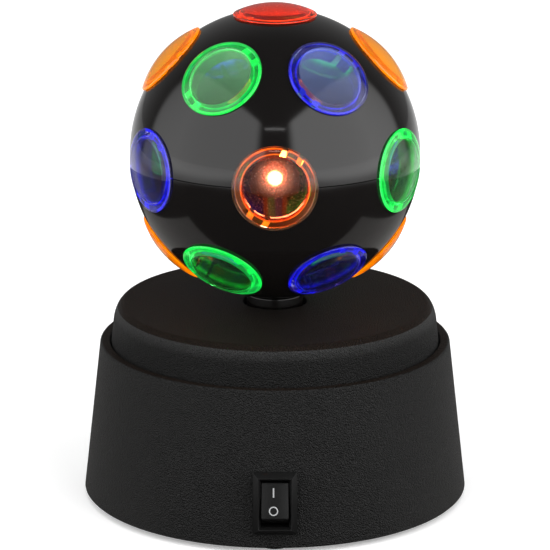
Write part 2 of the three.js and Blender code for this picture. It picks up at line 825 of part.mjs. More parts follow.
// Points of an arc about the ball's centre between two latitudes in degrees
function arc(radius, from_latitude, to_latitude, steps) {
  const points = [];
  for (let i = 0; i <= steps; i++) {
    const latitude = radians(from_latitude + (to_latitude - from_latitude) * i / steps);
    points.push([radius * Math.cos(latitude), radius * Math.sin(latitude)]);
  }
  return points;
}

function latitudeWhereRadiusIs(radius, sphere_radius) {
  return THREE.MathUtils.radToDeg(Math.acos(radius / sphere_radius));
}

// Each lens: its name, azimuth, latitude, colour, and how far its tabs are turned
const lens_directions = [['lens_top_red', 0, 90, 'red', 30]];
const ring_names = ['front_right', 'right', 'rear_right', 'rear_left', 'left', 'front_left'];
const ring_colours = ['blue', 'amber', 'green', 'blue', 'amber', 'green'];
const upper_turns = [32, 48, 20, 65, 10, 52];
const lower_turns = [70, 35, 55, 15, 42, 25];
const ring_step = 360 / ring_names.length;
ring_names.forEach((name, i) => {
  const azimuth = ring_step / 2 + ring_step * i;
  const colour = ring_colours[i];
  lens_directions.push([`lens_upper_${name}_${colour}`, azimuth, ring_latitude, colour, upper_turns[i]]);
  lens_directions.push([`lens_lower_${name}_${colour}`, azimuth, -ring_latitude, colour, lower_turns[i]]);
});
const middle_names = ['front', 'front_right', 'rear_right', 'rear', 'rear_left', 'front_left'];
const middle_colours = ['red', 'green', 'blue', 'red', 'green', 'blue'];
const middle_turns = [62, 75, 50, 80, 58, 68];
middle_names.forEach((name, i) => {
  const colour = middle_colours[i];
  lens_directions.push([`lens_middle_${name}_${colour}`, ring_step * i, 0, colour, middle_turns[i]]);
});

// Turns +Z to a lens's direction: azimuth from -Y towards +X, latitude from the equator
function lensRotation(azimuth, latitude) {
  return new THREE.Matrix4()
    .makeRotationZ(radians(azimuth))
    .multiply(new THREE.Matrix4().makeRotationX(radians(90 - latitude)));
}

function lensHole([, azimuth, latitude]) {
  const hole = bar(lens_hole_radius, shell_inner_radius / 2, ball_radius + overrun, hole_segments);
  return placed(hole, lensRotation(azimuth, latitude));
}

// The stem's hole in the bottom of the lower half, and the neck's two ends round it
const stem_hole_radius = holeAround(neck_stem_radius, seat_gap, ball_segments);
const shoulder_z = -Math.sqrt(ball_radius ** 2 - stem_hole_radius ** 2) - seat_gap;
const stem_top = -Math.sqrt(shell_inner_radius ** 2 - stem_hole_radius ** 2) + seat_gap;

function makeNeck() {
  return turned([
    [neck_bore_radius, neck_bottom],
    [neck_spigot_radius, neck_bottom],
    [neck_spigot_radius, spigot_top],
    [neck_radius, spigot_top],
    [neck_radius, shoulder_z],
    [neck_stem_radius, shoulder_z],
    [neck_stem_radius, stem_top],
    [neck_bore_radius, stem_top],
  ], ball_segments);
}

function makeLowerShell() {
  const outer_latitude = latitudeWhereRadiusIs(stem_hole_radius, ball_radius);
  const inner_latitude = latitudeWhereRadiusIs(stem_hole_radius, shell_inner_radius);
  const lip_foot_radius = Math.sqrt(shell_inner_radius ** 2 - lip_height ** 2);
  const lip_latitude = THREE.MathUtils.radToDeg(Math.atan2(lip_height, lip_foot_radius));
  const profile = [
    ...arc(ball_radius, -outer_latitude, 0, ball_rings),
    [lip_radius, 0],
    [lip_radius, lip_height],
    [lip_radius - lip_wall, lip_height],
    [lip_radius - lip_wall, -lip_height],
    ...arc(shell_inner_radius, -lip_latitude, -inner_latitude, inner_rings),
  ];
  const holes = lens_directions.filter(([, , latitude]) => latitude <= 0).map(lensHole);
  return cut(turned(profile, ball_segments), ...holes);
}

function makeUpperShell() {
  const hole_latitude = latitudeWhereRadiusIs(lens_hole_radius, ball_radius);
  const inner_latitude = latitudeWhereRadiusIs(lens_hole_radius, shell_inner_radius);
  const outer_start = THREE.MathUtils.radToDeg(Math.asin(seam_gap / ball_radius));
  const inner_start = THREE.MathUtils.radToDeg(Math.asin(seam_gap / shell_inner_radius));
  const profile = [
    ...arc(ball_radius, outer_start, hole_latitude, ball_rings),
    ...arc(shell_inner_radius, inner_latitude, inner_start, inner_rings),
  ];
  const holes = lens_directions.filter(([, , latitude]) => latitude >= 0 && latitude < 90).map(lensHole);
  return cut(turned(profile, ball_segments), ...holes);
}

addPiece(turningBall, 'ball_neck', makeNeck(), gloss_black);
addPiece(turningBall, 'lower_ball_shell', makeLowerShell(), gloss_black);
addPiece(turningBall, 'upper_ball_shell', makeUpperShell(), gloss_black);

// A lens cap: a dome, rounder than the ball and thin at its edge, on a round skirt that drops
// into the hole. Two barbed tabs, cut free by slots, snap behind the shell.
const dome_radius = ball_radius + lens_proud;
const dome_under_radius = ball_radius + seat_gap;
const barb_radius = lens_skirt_radius + lens_barb_reach;
const barb_top = Math.sqrt(flat_inner_radius ** 2 - barb_radius ** 2) - seat_gap;
const skirt_end = barb_top - lens_barb_height;

function heightOn(sphere_radius, radius) {
  return Math.sqrt(sphere_radius ** 2 - radius ** 2);
}

function makeLensCap() {
  const inner = lens_skirt_radius - lens_skirt_wall;
  const edge_bottom = heightOn(dome_under_radius, lens_radius);
  const edge_top = edge_bottom + lens_edge;
  const rise = dome_radius - edge_top;
  const curve_radius = (lens_radius ** 2 + rise ** 2) / (2 * rise);
  const crown_radius = lens_radius * lens_crown_share;
  const profile = [
    [0, dome_radius],
    [crown_radius, dome_radius - curve_radius + heightOn(curve_radius, crown_radius)],
    [lens_radius, edge_top],
    [lens_radius, edge_bottom],
    [lens_skirt_radius, heightOn(dome_under_radius, lens_skirt_radius)],
    [lens_skirt_radius, skirt_end],
    [inner, skirt_end],
    [inner, heightOn(dome_under_radius, inner) - seat_gap],
    [0, dome_under_radius - seat_gap],
  ];
  const cap = turned(profile, hole_segments);
  const half_tab = lens_tab_width / 2;
  const slot_outer = half_tab + lens_slot_width;
  const slot_top = heightOn(dome_under_radius, lens_skirt_radius) - seat_gap;
  const slots = [];
  const barbs = [];
  for (const side of [-1, 1]) {
    for (const edge of [-1, 1]) {
      const y0 = Math.min(edge * half_tab, edge * slot_outer);
      const y1 = Math.max(edge * half_tab, edge * slot_outer);
      const x0 = Math.min(side * inner / 2, side * lens_radius);
      const x1 = Math.max(side * inner / 2, side * lens_radius);
      slots.push(block([x0, y0, skirt_end - overrun], [x1, y1, slot_top]));
    }
    const barb_root = side * (lens_skirt_radius - lens_skirt_wall / 2);
    const barb_tip = side * heightOn(barb_radius, half_tab);
    const barb_from = [Math.min(barb_root, barb_tip), -half_tab, skirt_end];
    const barb_to = [Math.max(barb_root, barb_tip), half_tab, barb_top];
    barbs.push(block(barb_from, barb_to));
  }
  return join(cut(cap, ...slots), ...barbs);
}

const lens_cap = makeLensCap();
for (const [name, azimuth, latitude, colour, tab_turn] of lens_directions) {
  const look = { ...clear_moulding, color: lens_colours[colour] };
  const lens = addPiece(turningBall, name, spun(lens_cap, radians(tab_turn)), look);
  lens.applyMatrix4(lensRotation(azimuth, latitude));
}

// A spring clip on the mast keeps the neck down on its collar
function makeMastClip() {
  const clip_z = ball_z + stem_top + seat_gap;
  const profile = [
    [holeAround(mast_radius, running_gap, hole_segments), clip_z],
    [clip_radius, clip_z],
    [clip_radius, clip_z + clip_thickness],
    [holeAround(mast_radius, running_gap, hole_segments), clip_z + clip_thickness],
  ];
  return turned(profile, hole_segments);
}

addPiece(lamp, 'mast_clip', makeMastClip(), steel);

// Diode carrier: a round block on the mast's top with a socket for each diode
const led_azimuths = { led_front: 0, led_right: 120, led_left: 240 };

function alongRadius(shape, azimuth) {
  const turn = new THREE.Matrix4().makeRotationZ(radians(azimuth));
  return placed(shape, turn.multiply(new THREE.Matrix4().makeRotationX(Math.PI / 2)));
}

function makeCarrier() {
  const body = bar(carrier_radius, carrier_z, carrier_top_z, hole_segments);
  const mast_hole = bar(
    holeAround(mast_radius, seat_gap, small_segments), carrier_z - overrun, mast_top_z + seat_gap);
  const lead_hole = bar(mast_bore_radius, carrier_z, led_z);
  const socket_radius = holeAround(led_radius, seat_gap, small_segments);
  const socket = bar(socket_radius, led_seat_radius, carrier_radius + overrun);
  const sockets = Object.values(led_azimuths).map((azimuth) =>
    placed(alongRadius(socket, azimuth), new THREE.Matrix4().makeTranslation(0, 0, led_z)));
  return cut(body, mast_hole, lead_hole, ...sockets);
}

function makeLed() {
  const body_end = led_seat_radius + seat_gap + led_length - led_radius;
  const flange_from = carrier_radius + seat_gap;
  const dome_share = Math.SQRT1_2;
  const profile = [
    [0, led_seat_radius + seat_gap],
    [led_radius, led_seat_radius + seat_gap],
    [led_radius, flange_from],
    [led_flange_radius, flange_from],
    [led_flange_radius, flange_from + led_flange_thickness],
    [led_radius, flange_from + led_flange_thickness],
    [led_radius, body_end],
    [led_radius * dome_share, body_end + led_radius * dome_share],
    [0, body_end + led_radius],
  ];
  return turned(profile, small_segments);
}

addPiece(lamp, 'led_carrier', makeCarrier(), white_moulding);
const led_looks = { led_front: 0xff5030, led_right: 0x40ff60, led_left: 0x4060ff };
for (const [name, azimuth] of Object.entries(led_azimuths)) {
  const look = { color: led_looks[name], roughness: 0.1, metalness: 0 };
  addPiece(lamp, name, alongRadius(makeLed(), azimuth), look).position.z = led_z;
}

// Rocker switch: a chamfered bezel and a housing behind it, open in front
function makeSwitchBody() {
  const half_width = bezel_width / 2 - bezel_chamfer;
  const half_height = bezel_height / 2 - bezel_chamfer;
  const outline = new THREE.Shape([
    new THREE.Vector2(-half_width, -half_height),
    new THREE.Vector2(half_width, -half_height),
    new THREE.Vector2(half_width, half_height),
    new THREE.Vector2(-half_width, half_height),
  ]);
  const bevel = { bevelThickness: bezel_depth - seat_gap, bevelSize: bezel_chamfer, bevelSegments: 1 };
  const frame = new THREE.ExtrudeGeometry(outline, { depth: seat_gap / 2, bevelEnabled: true, ...bevel });
  frame.translate(0, 0, seat_gap / 2);
  const behind = block(
    [-bezel_width, -bezel_height, -bezel_height], [bezel_width, bezel_height, seat_gap / 2]);
  const bezel = cut(solid(frame), behind);
  const box = block(
    [-housing_width / 2, -housing_height / 2, -housing_depth],
    [housing_width / 2, housing_height / 2, seat_gap]);
  const room = block(
    [-window_width / 2, -window_height / 2, housing_floor - housing_depth],
    [window_width / 2, window_height / 2, bezel_depth + overrun]);
  const pin_reach = housing_width / 2 + overrun;
  const pin_hole = bar(holeAround(rocker_pin_radius, running_gap, small_segments), -pin_reach, pin_reach);
  const pin_matrix = new THREE.Matrix4()
    .makeTranslation(0, 0, -rocker_pivot_depth)
    .multiply(new THREE.Matrix4().makeRotationY(Math.PI / 2));
  const terminals = [-1, 1].map((side) => {
    const y = side * window_height / 4;
    return block(
      [-terminal_width / 2, y - terminal_thickness / 2, -housing_depth - terminal_length],
      [terminal_width / 2, y + terminal_thickness / 2, housing_floor / 2 - housing_depth]);
  });
  const wings = [-1, 1].map(snapWing);
  return cut(join(bezel, box, ...terminals, ...wings), room, placed(pin_hole, pin_matrix));
}

// A wedge on the housing's upper or lower side that snaps behind the wall
function snapWing(side) {
  const wall_back = -base_wall - seat_gap;
  const root = housing_height / 2 - housing_wall / 2;
  const outline = [
    [root, wall_back],
    [housing_height / 2 + snap_wing, wall_back],
    [root, wall_back - 4 * snap_wing],
  ];
  const wedge = drawnUp(outline.map(([y, z]) => [side * y, z]), housing_width / 2);
  const upright = new THREE.Matrix4().makeBasis(
    new THREE.Vector3(0, 1, 0), new THREE.Vector3(0, 0, 1), new THREE.Vector3(1, 0, 0));
  return placed(wedge, new THREE.Matrix4().makeTranslation(-housing_width / 4, 0, 0).multiply(upright));
}

// The rocker at rest is pressed in at its upper end, the I end, so the lamp is on
function makeRocker() {
  const belly = rocker_face_height / 2;
  const outline = [
    [rocker_half_face, rocker_face_height],
    [0, rocker_face_height - rocker_dish],
    [-rocker_half_face, rocker_face_height],
    [-rocker_half_length, rocker_half_length / 4],
    [-rocker_half_length, -rocker_half_length / 8],
    [-rocker_pin_radius, -belly],
    [rocker_pin_radius, -belly],
    [rocker_half_length, -rocker_half_length / 8],
    [rocker_half_length, rocker_half_length / 4],
  ];
  const upright = new THREE.Matrix4().makeBasis(
    new THREE.Vector3(0, 1, 0), new THREE.Vector3(0, 0, 1), new THREE.Vector3(1, 0, 0));
  const centred = new THREE.Matrix4().makeTranslation(-rocker_width / 2, 0, 0).multiply(upright);
  const body = placed(drawnUp(outline, rocker_width), centred);
  const pin_end = rocker_width / 2 + rocker_pin_length;
  const across = new THREE.Matrix4().makeRotationY(Math.PI / 2);
  const pin = placed(bar(rocker_pin_radius, -pin_end, pin_end), across);
  return join(body, pin);
}

addPiece(lamp, 'switch_body', inSwitchFrame(makeSwitchBody()), switch_black);
const rocker = addPiece(lamp, 'switch_rocker', makeRocker(), rocker_black);
rocker.applyMatrix4(new THREE.Matrix4()
  .multiply(switch_frame)
  .multiply(new THREE.Matrix4().makeTranslation(0, 0, -rocker_pivot_depth))
  .multiply(new THREE.Matrix4().makeRotationX(-radians(rocker_tilt))));

// Wiring loom: one trunk from the switch up the mast to the diodes, with branches to the motor
// and to the cells' end wall
function makeLoom() {
  const blade_edge = window_height / 4 + terminal_thickness / 2;
  const reach_in = (housing_depth + terminal_length) * Math.cos(wall_tilt)
    + blade_edge * Math.sin(Math.abs(wall_tilt));
  const switch_back = reach_in - switch_radius;
  const bay_top = bay_roof_z + bay_wall;
  const above_bay = (bay_top + motor_top_z - motor_height / 2) / 2;
  const step_back = 4 * lead_radius;
  const start = [0, switch_back + running_gap + lead_radius, switch_height];
  const splice = [0, -bay_half_width / 2, above_bay];
  const trunk = tube([
    start,
    [0, switch_back + step_back / 2, above_bay],
    splice,
    [0, -step_back / 2, above_bay + step_back],
    [0, 0, gear_plate_z],
    [0, 0, (gear_plate_z + led_z) / 2],
    [0, 0, led_z - led_radius],
  ], lead_radius, trunk_steps, lead_sides);
  const motor_side = motor_place[1] - motor_radius - seat_gap;
  const motor_branch = tube([
    splice,
    [-step_back, 0, above_bay],
    [0, motor_side, motor_top_z - motor_height / 2],
  ], lead_radius, motor_branch_steps, lead_sides);
  const wall_x = bay_half_length + bay_wall + seat_gap + lead_radius;
  const cell_branch = tube([
    splice,
    [bay_half_length / 2, -bay_half_width * 3 / 4, above_bay],
    [wall_x, -cell_spacing, above_bay],
    [wall_x, -cell_spacing, cell_z + cell_radius / 2],
  ], lead_radius, cell_branch_steps, lead_sides);
  return join(trunk, motor_branch, cell_branch);
}

addPiece(lamp, 'wiring_loom', makeLoom(), lead_black);

export default lamp;
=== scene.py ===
# %% [markdown]
# # A battery disco lamp
# A glossy black ball with nineteen coloured lens caps turns above a round black base. The solids
# of every piece already exist, measured and in place, and are loaded as a fixed frame. This lesson
# remodels the pieces that the eye meets with finer surfaces, gives every piece a finish, and sets
# up the floor, the light and the camera. Everything is in metres, +Z is up, the rocker switch
# faces -Y, and the origin lies under the ball at table level.

# %% Load the solids
import json
from math import atan, cos, degrees, pi, radians, sin, sqrt, tan

import bpy
from mathutils import Matrix, Vector


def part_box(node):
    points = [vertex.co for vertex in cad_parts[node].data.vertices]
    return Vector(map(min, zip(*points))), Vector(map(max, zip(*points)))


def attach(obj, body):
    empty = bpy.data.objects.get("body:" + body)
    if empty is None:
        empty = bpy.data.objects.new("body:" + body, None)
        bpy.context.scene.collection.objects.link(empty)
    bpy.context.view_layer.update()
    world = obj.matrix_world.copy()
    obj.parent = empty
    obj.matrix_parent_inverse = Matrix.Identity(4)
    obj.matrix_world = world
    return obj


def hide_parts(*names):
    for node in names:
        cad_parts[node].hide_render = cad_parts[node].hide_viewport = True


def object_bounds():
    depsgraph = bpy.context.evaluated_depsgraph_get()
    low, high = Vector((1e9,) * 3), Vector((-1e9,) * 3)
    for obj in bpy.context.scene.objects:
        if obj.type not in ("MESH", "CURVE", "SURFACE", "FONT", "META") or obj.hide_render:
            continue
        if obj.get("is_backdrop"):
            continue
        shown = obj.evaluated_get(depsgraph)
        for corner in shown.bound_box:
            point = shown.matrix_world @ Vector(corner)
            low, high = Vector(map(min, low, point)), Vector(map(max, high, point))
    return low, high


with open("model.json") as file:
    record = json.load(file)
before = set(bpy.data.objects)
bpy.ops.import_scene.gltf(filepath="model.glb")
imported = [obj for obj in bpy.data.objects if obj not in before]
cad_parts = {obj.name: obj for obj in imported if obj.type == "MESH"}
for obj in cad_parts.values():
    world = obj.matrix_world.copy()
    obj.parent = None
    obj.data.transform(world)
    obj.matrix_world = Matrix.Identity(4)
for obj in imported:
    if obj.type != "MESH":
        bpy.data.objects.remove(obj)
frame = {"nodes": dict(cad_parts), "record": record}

cad_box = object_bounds()

# %% [markdown]
# ## Sizes
# The frame gives the main sizes, so nothing has to be fitted later. What the boxes of the solids
# can't tell, such as a wall or a fillet, is named where it is needed, in millimetres times `mm`.

# %% Read the main sizes from the solids
mm = 0.001
base_low, base_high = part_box("base_body")
skirt_z = base_low.z
rim_z = base_high.z
cap_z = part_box("top_cap")[1].z
base_radius = base_high.x
rim_radius = 42.7 * mm
seam_gap = 0.2 * mm
ball_centre = Vector((0, 0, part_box("upper_ball_shell")[0].z - seam_gap))
ball_radius = 35 * mm
lens_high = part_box("lens_top_red")[1]
dome_radius = lens_high.z - ball_centre.z
lens_radius = lens_high.x
print("base", base_radius, "rim", rim_z, "cap", cap_z, "ball centre", ball_centre.z)
print("lens dome", dome_radius, "lens rim", lens_radius)

# %% [markdown]
# ## Camera
# The photograph was taken from the front with a long lens, a little above the lamp, and it looks
# down by about sixteen degrees. A real lens shift isn't needed: the target lies on the lamp's axis.

# %% Set the camera at the photograph's angle
def aim_at(thing, target):
    """Turns a camera or a light towards the target."""
    direction = Vector(target) - thing.location
    thing.rotation_euler = direction.to_track_quat("-Z", "Y").to_euler()


bpy.ops.object.camera_add(location=Vector((0, -768.6, 276)) * mm)
camera = bpy.context.object
camera.name = "camera"
aim_at(camera, (0, 0, 54.4 * mm))
camera.data.sensor_width = 36
camera.data.lens = 214.9
camera.data.clip_start = 10 * mm
bpy.context.scene.camera = camera
print("camera tilt", round(degrees(camera.rotation_euler.x), 2), "degrees")

# %% [markdown]
# ## Working as by hand
# Each new piece starts as a primitive, is shaped in edit mode with the same operators that a
# person would press, and ends with its place in its mesh. The helpers below hold only the steps
# that every piece repeats.

# %% Helpers for starting and shaping a piece
def deselect_all():
    for thing in bpy.context.selected_objects:
        thing.select_set(False)


def only(piece):
    deselect_all()
    piece.select_set(True)
    bpy.context.view_layer.objects.active = piece


def add_box(size, place=(0, 0, 0), name="box"):
    deselect_all()
    bpy.ops.mesh.primitive_cube_add(size=1, location=place, scale=size)
    box = bpy.context.object
    box.name = name
    return box


def edit(piece, mode="VERT"):
    only(piece)
    bpy.ops.object.mode_set(mode="EDIT")
    bpy.ops.mesh.select_mode(type=mode)


def leave_edit():
    bpy.ops.object.mode_set(mode="OBJECT")


def select_where(piece, mode, wanted):
    """Selects the vertices or faces that pass the test, and leaves the piece in edit mode."""
    edit(piece, mode)
    bpy.ops.mesh.select_all(action="DESELECT")
    leave_edit()
    for element in piece.data.vertices if mode == "VERT" else piece.data.polygons:
        element.select = wanted(element)
    bpy.ops.object.mode_set(mode="EDIT")


def extrude(distance):
    """Extrudes what is selected along Z."""
    bpy.ops.mesh.extrude_region_move(TRANSFORM_OT_translate={"value": (0, 0, distance)})


def resize_at(height, across, along):
    """Resizes what is selected in X and Y, about the point of the Z axis at this height."""
    bpy.ops.transform.resize(value=(across, along, 1), center_override=(0, 0, height))


# %% Helpers for finishing a piece
def apply_modifier(piece, kind, **settings):
    only(piece)
    modifier = piece.modifiers.new(kind.lower(), kind)
    for setting, value in settings.items():
        setattr(modifier, setting, value)
    bpy.ops.object.modifier_apply(modifier=modifier.name)


def bevel(piece, width, segments=1, angle=30):
    """Rounds the edges that turn by more than the angle, in degrees."""
    apply_modifier(piece, "BEVEL", width=width, segments=segments, limit_method="ANGLE",
                   angle_limit=radians(angle))


def carve(piece, cutter, operation="DIFFERENCE"):
    """Cuts one solid with another, or joins them, and throws the second away."""
    apply_modifier(piece, "BOOLEAN", object=cutter, operation=operation, solver="EXACT")
    bpy.data.objects.remove(cutter)


def apply_place(piece):
    only(piece)
    bpy.ops.object.transform_apply()


def tidy_mesh(piece):
    """Merges doubles, points the faces outwards, puts the place in the mesh and smooths it."""
    edit(piece)
    bpy.ops.mesh.select_all(action="SELECT")
    bpy.ops.mesh.remove_doubles(threshold=0.002 * mm)
    bpy.ops.mesh.normals_make_consistent(inside=False)
    leave_edit()
    apply_place(piece)
    bpy.ops.object.shade_smooth_by_angle(angle=radians(32))


def place_copy(piece, name, matrix):
    """A copy with its own mesh, moved by the matrix, with that place in its mesh."""
    twin = piece.copy()
    twin.data = piece.data.copy()
    twin.name = name
    bpy.context.collection.objects.link(twin)
    twin.matrix_world = matrix @ twin.matrix_world
    apply_place(twin)
    return twin


def coat(piece, *finishes):
    """Gives the piece these finishes, the first on all its faces."""
    piece.data.materials.clear()
    for finish in finishes:
        piece.data.materials.append(finish)


# %% [markdown]
# ## Turned shapes
# The base, the cap, the neck, the feet and the lens caps are all round. On a lathe the tool would
# follow a profile; here a circle is added at the profile's first point, and each further point is
# an extrude along Z and a resize about the axis. Bridging the last ring to the first closes the
# wall. Rounded corners are arcs of a few points, written as a formula.

# %% Helpers for turned pieces
def arc_points(centre, radii, from_angle, to_angle, steps):
    """Points of an arc or a quarter oval in the profile's plane, angles in degrees."""
    points = []
    for i in range(steps + 1):
        angle = radians(from_angle + (to_angle - from_angle) * i / steps)
        points.append((centre[0] + radii[0] * cos(angle), centre[1] + radii[1] * sin(angle)))
    return points


def turn_profile(name, profile, around=48, ends="ring"):
    """Turns (radius, height) points about Z, with its ends bridged to a ring, filled or open."""
    first_radius, first_height = profile[0]
    deselect_all()
    bpy.ops.mesh.primitive_circle_add(
        vertices=around, radius=first_radius, location=(0, 0, first_height))
    piece = bpy.context.object
    piece.name = name
    edit(piece)
    bpy.ops.mesh.select_all(action="SELECT")
    if ends == "disc":
        bpy.ops.mesh.edge_face_add()
    for (radius, height), (next_radius, next_height) in zip(profile, profile[1:]):
        growth = next_radius / radius
        extrude(next_height - height)
        resize_at(next_height, growth, growth)
    if ends == "ring":
        bpy.ops.mesh.select_all(action="DESELECT")
        bpy.ops.mesh.select_non_manifold(extend=False)
        bpy.ops.mesh.bridge_edge_loops()
    leave_edit()
    tidy_mesh(piece)
    return piece


# %% [markdown]
# ## Finishes
# Each finish is a small node tree on Object coordinates, which here are metres of the lamp itself,
# so a grain of 0.3 mm is a texture scale of 1 / 0.0003. The first helpers add nodes and links to
# anything that owns a node tree: a finish, a light or the world.

# %% Helpers for node trees
def add_node(owner, kind, sockets=None, **settings):
    node = owner.node_tree.nodes.new("ShaderNode" + kind)
    for setting, value in settings.items():
        setattr(node, setting, value)
    for socket, value in (sockets or {}).items():
        node.inputs[socket].default_value = value
    return node


def connect(owner, output, entry):
    owner.node_tree.links.new(output, entry)


def add_math(owner, operation, *values):
    """Each value is a number or a node's output."""
    node = add_node(owner, "Math", operation=operation)
    for entry, value in zip(node.inputs, values):
        if isinstance(value, (int, float)):
            entry.default_value = value
        else:
            connect(owner, value, entry)
    return node.outputs["Value"]


def remap(owner, value, low, high, from_low=0, from_high=1, curve="LINEAR"):
    node = add_node(owner, "MapRange", {
        "From Min": from_low, "From Max": from_high, "To Min": low, "To Max": high},
        interpolation_type=curve)
    connect(owner, value, node.inputs["Value"])
    return node.outputs["Result"]


def split_axes(owner, vector):
    split = add_node(owner, "SeparateXYZ")
    connect(owner, vector, split.inputs["Vector"])
    return split.outputs


# %% Helpers for finishes
def new_finish(name, colour, **sockets):
    finish = bpy.data.materials.new(name)
    finish.use_nodes = True
    shader = shader_of(finish)
    shader.inputs["Base Color"].default_value = (*colour, 1)
    for socket, value in sockets.items():
        shader.inputs[socket.replace("_", " ")].default_value = value
    finish.diffuse_color = (*colour, 1)
    return finish


def shader_of(finish):
    return finish.node_tree.nodes["Principled BSDF"]


def into_shader(finish, value, entry):
    connect(finish, value, shader_of(finish).inputs[entry])


def object_place(finish):
    return add_node(finish, "TexCoord").outputs["Object"]


def object_height(finish):
    return split_axes(finish, object_place(finish))["Z"]


def distance_from(finish, point):
    offset = add_node(finish, "VectorMath", operation="DISTANCE")
    offset.inputs[1].default_value = point
    connect(finish, object_place(finish), offset.inputs[0])
    return offset.outputs["Value"]


def add_noise(finish, pitch, detail=2, roughness=0.5, place=None, stretch=None):
    """Noise whose features are about one pitch wide. Stretch scales the place along X, Y and Z."""
    place = place or object_place(finish)
    if stretch:
        mapping = add_node(finish, "Mapping", {"Scale": stretch})
        connect(finish, place, mapping.inputs["Vector"])
        place = mapping.outputs["Vector"]
    noise = add_node(finish, "TexNoise", {
        "Scale": 1 / pitch, "Detail": detail, "Roughness": roughness})
    connect(finish, place, noise.inputs["Vector"])
    return noise.outputs["Fac"]


def as_pattern(finish, pattern, detail):
    """A pattern is a node's output, or a bare number that stands for noise of that pitch."""
    return add_noise(finish, pattern, detail) if isinstance(pattern, float) else pattern


def vary_roughness(finish, pattern, low, high, detail=2):
    pattern = as_pattern(finish, pattern, detail)
    into_shader(finish, remap(finish, pattern, low, high, 0.3, 0.7), "Roughness")


def vary_colour(finish, pattern, dark, light, from_low=0.3, from_high=0.7, entry="Base Color",
                detail=2):
    pattern = as_pattern(finish, pattern, detail)
    mix = add_node(finish, "Mix", data_type="RGBA")
    mix.inputs["A"].default_value = (*dark, 1)
    mix.inputs["B"].default_value = (*light, 1)
    connect(finish, remap(finish, pattern, 0, 1, from_low, from_high), mix.inputs["Factor"])
    into_shader(finish, mix.outputs["Result"], entry)


def add_bump(finish, pattern, depth, strength=1, detail=2):
    bump = add_node(finish, "Bump", {"Distance": depth, "Strength": strength})
    connect(finish, as_pattern(finish, pattern, detail), bump.inputs["Height"])
    into_shader(finish, bump.outputs["Normal"], "Normal")


# %% [markdown]
# ## Grained black moulding
# The base and its cap come from a mould with a leather grain: soft pebbles about a third of a
# millimetre across with fine creases between them. Voronoi cells give the pebbles, and a noise
# that pushes the coordinates about keeps the cells from looking like a honeycomb. The pebble tops
# are painted lighter than the creases, a painted highlight on the tops and painted shade in the
# creases. Such a grain hides most of the gloss, so the specular level is low too. The level faces,
# the cap's flat top and the rim's, get a version of their own that is duller and a little brown:
# on the cap's flat top it is partly a finer etched grain and partly painted shade, and on the rim
# and the top of the cap's fillet it is painted shade, a darker copy on the faces that look up.

# %% Make the grained black mouldings
fine_share = 0.35


def make_grained(name, pitch, depth, colour, gloss):
    finish = new_finish(name, colour, Roughness=0.5, Specular_IOR_Level=gloss)
    place = object_place(finish)
    wander = add_node(finish, "TexNoise", {"Scale": 0.7 / pitch, "Detail": 1.0})
    connect(finish, place, wander.inputs["Vector"])
    push = add_node(finish, "VectorMath", operation="MULTIPLY_ADD")
    push.inputs[1].default_value = (pitch, pitch, pitch)
    connect(finish, wander.outputs["Color"], push.inputs[0])
    connect(finish, place, push.inputs[2])
    pebbles = add_node(finish, "TexVoronoi", {"Scale": 1 / pitch, "Smoothness": 0.6},
                       feature="SMOOTH_F1")
    connect(finish, push.outputs["Vector"], pebbles.inputs["Vector"])
    dome = remap(finish, pebbles.outputs["Distance"], 1, 0, 0.1, 0.75)
    fine = add_noise(finish, pitch / 3, detail=3, place=place)
    add_bump(finish, add_math(finish, "MULTIPLY_ADD", fine, fine_share, dome), depth)
    vary_roughness(finish, fine, 0.42, 0.62)
    # The pebble tops are painted lighter than the creases: painted highlight on the tops, painted
    # shade in the creases.
    painted_lit_tops = tuple(3 * channel for channel in colour)
    vary_colour(finish, dome, colour, painted_lit_tops, 0.2, 0.9)
    return finish


grain_pitch = 0.32 * mm
grain_depth = 0.42 * mm
grained_black = make_grained(
    "grained_black", grain_pitch, grain_depth, (0.0025, 0.0025, 0.0024), 0.4)
etched_and_shaded_black = make_grained(
    "etched_and_shaded_black", 0.3 * mm, 0.5 * mm, (0.0078, 0.0047, 0.0031), 0.12)

# %% [markdown]
# ## Base body
# The wall is a plain cone, a little narrower at the rim, with a small round on the rim's outer
# edge that catches a thin line of light, and an inward shelf that the cap stands on. A square
# opening is cut for the switch, which leans back with the wall.

# %% Turn the base body
base_wall = 1.6 * mm
hem_inset = 0.35 * mm
hem_lean = 0.02 * mm
hem_height = 0.3 * mm
rim_round = 0.7 * mm
shelf_radius = 40.3 * mm
shelf_chamfer = 0.25 * mm
shelf_drop = 2 * mm
shelf_slope = 0.2 * mm
wall_lean = atan((base_radius - rim_radius) / (rim_z - skirt_z))


def wall_radius(height):
    return base_radius - (height - skirt_z) * tan(wall_lean)


wall_heights = [skirt_z + (rim_z - skirt_z) * i / 6 for i in range(1, 6)]
base = turn_profile("base_shell", [
    (base_radius - hem_inset, skirt_z),
    (base_radius - hem_lean, skirt_z + hem_height),
    *[(wall_radius(height), height) for height in wall_heights],
    *arc_points((wall_radius(rim_z - rim_round) - rim_round, rim_z - rim_round),
                (rim_round, rim_round), 0, 90, 6),
    (shelf_radius + shelf_chamfer, rim_z),
    (shelf_radius, rim_z - shelf_chamfer),
    (shelf_radius, rim_z - shelf_drop),
    (wall_radius(rim_z - shelf_drop) - base_wall, rim_z - shelf_drop - shelf_slope),
    (base_radius - base_wall, skirt_z),
], around=192)
print("base wall leans back by", round(degrees(wall_lean), 2), "degrees")

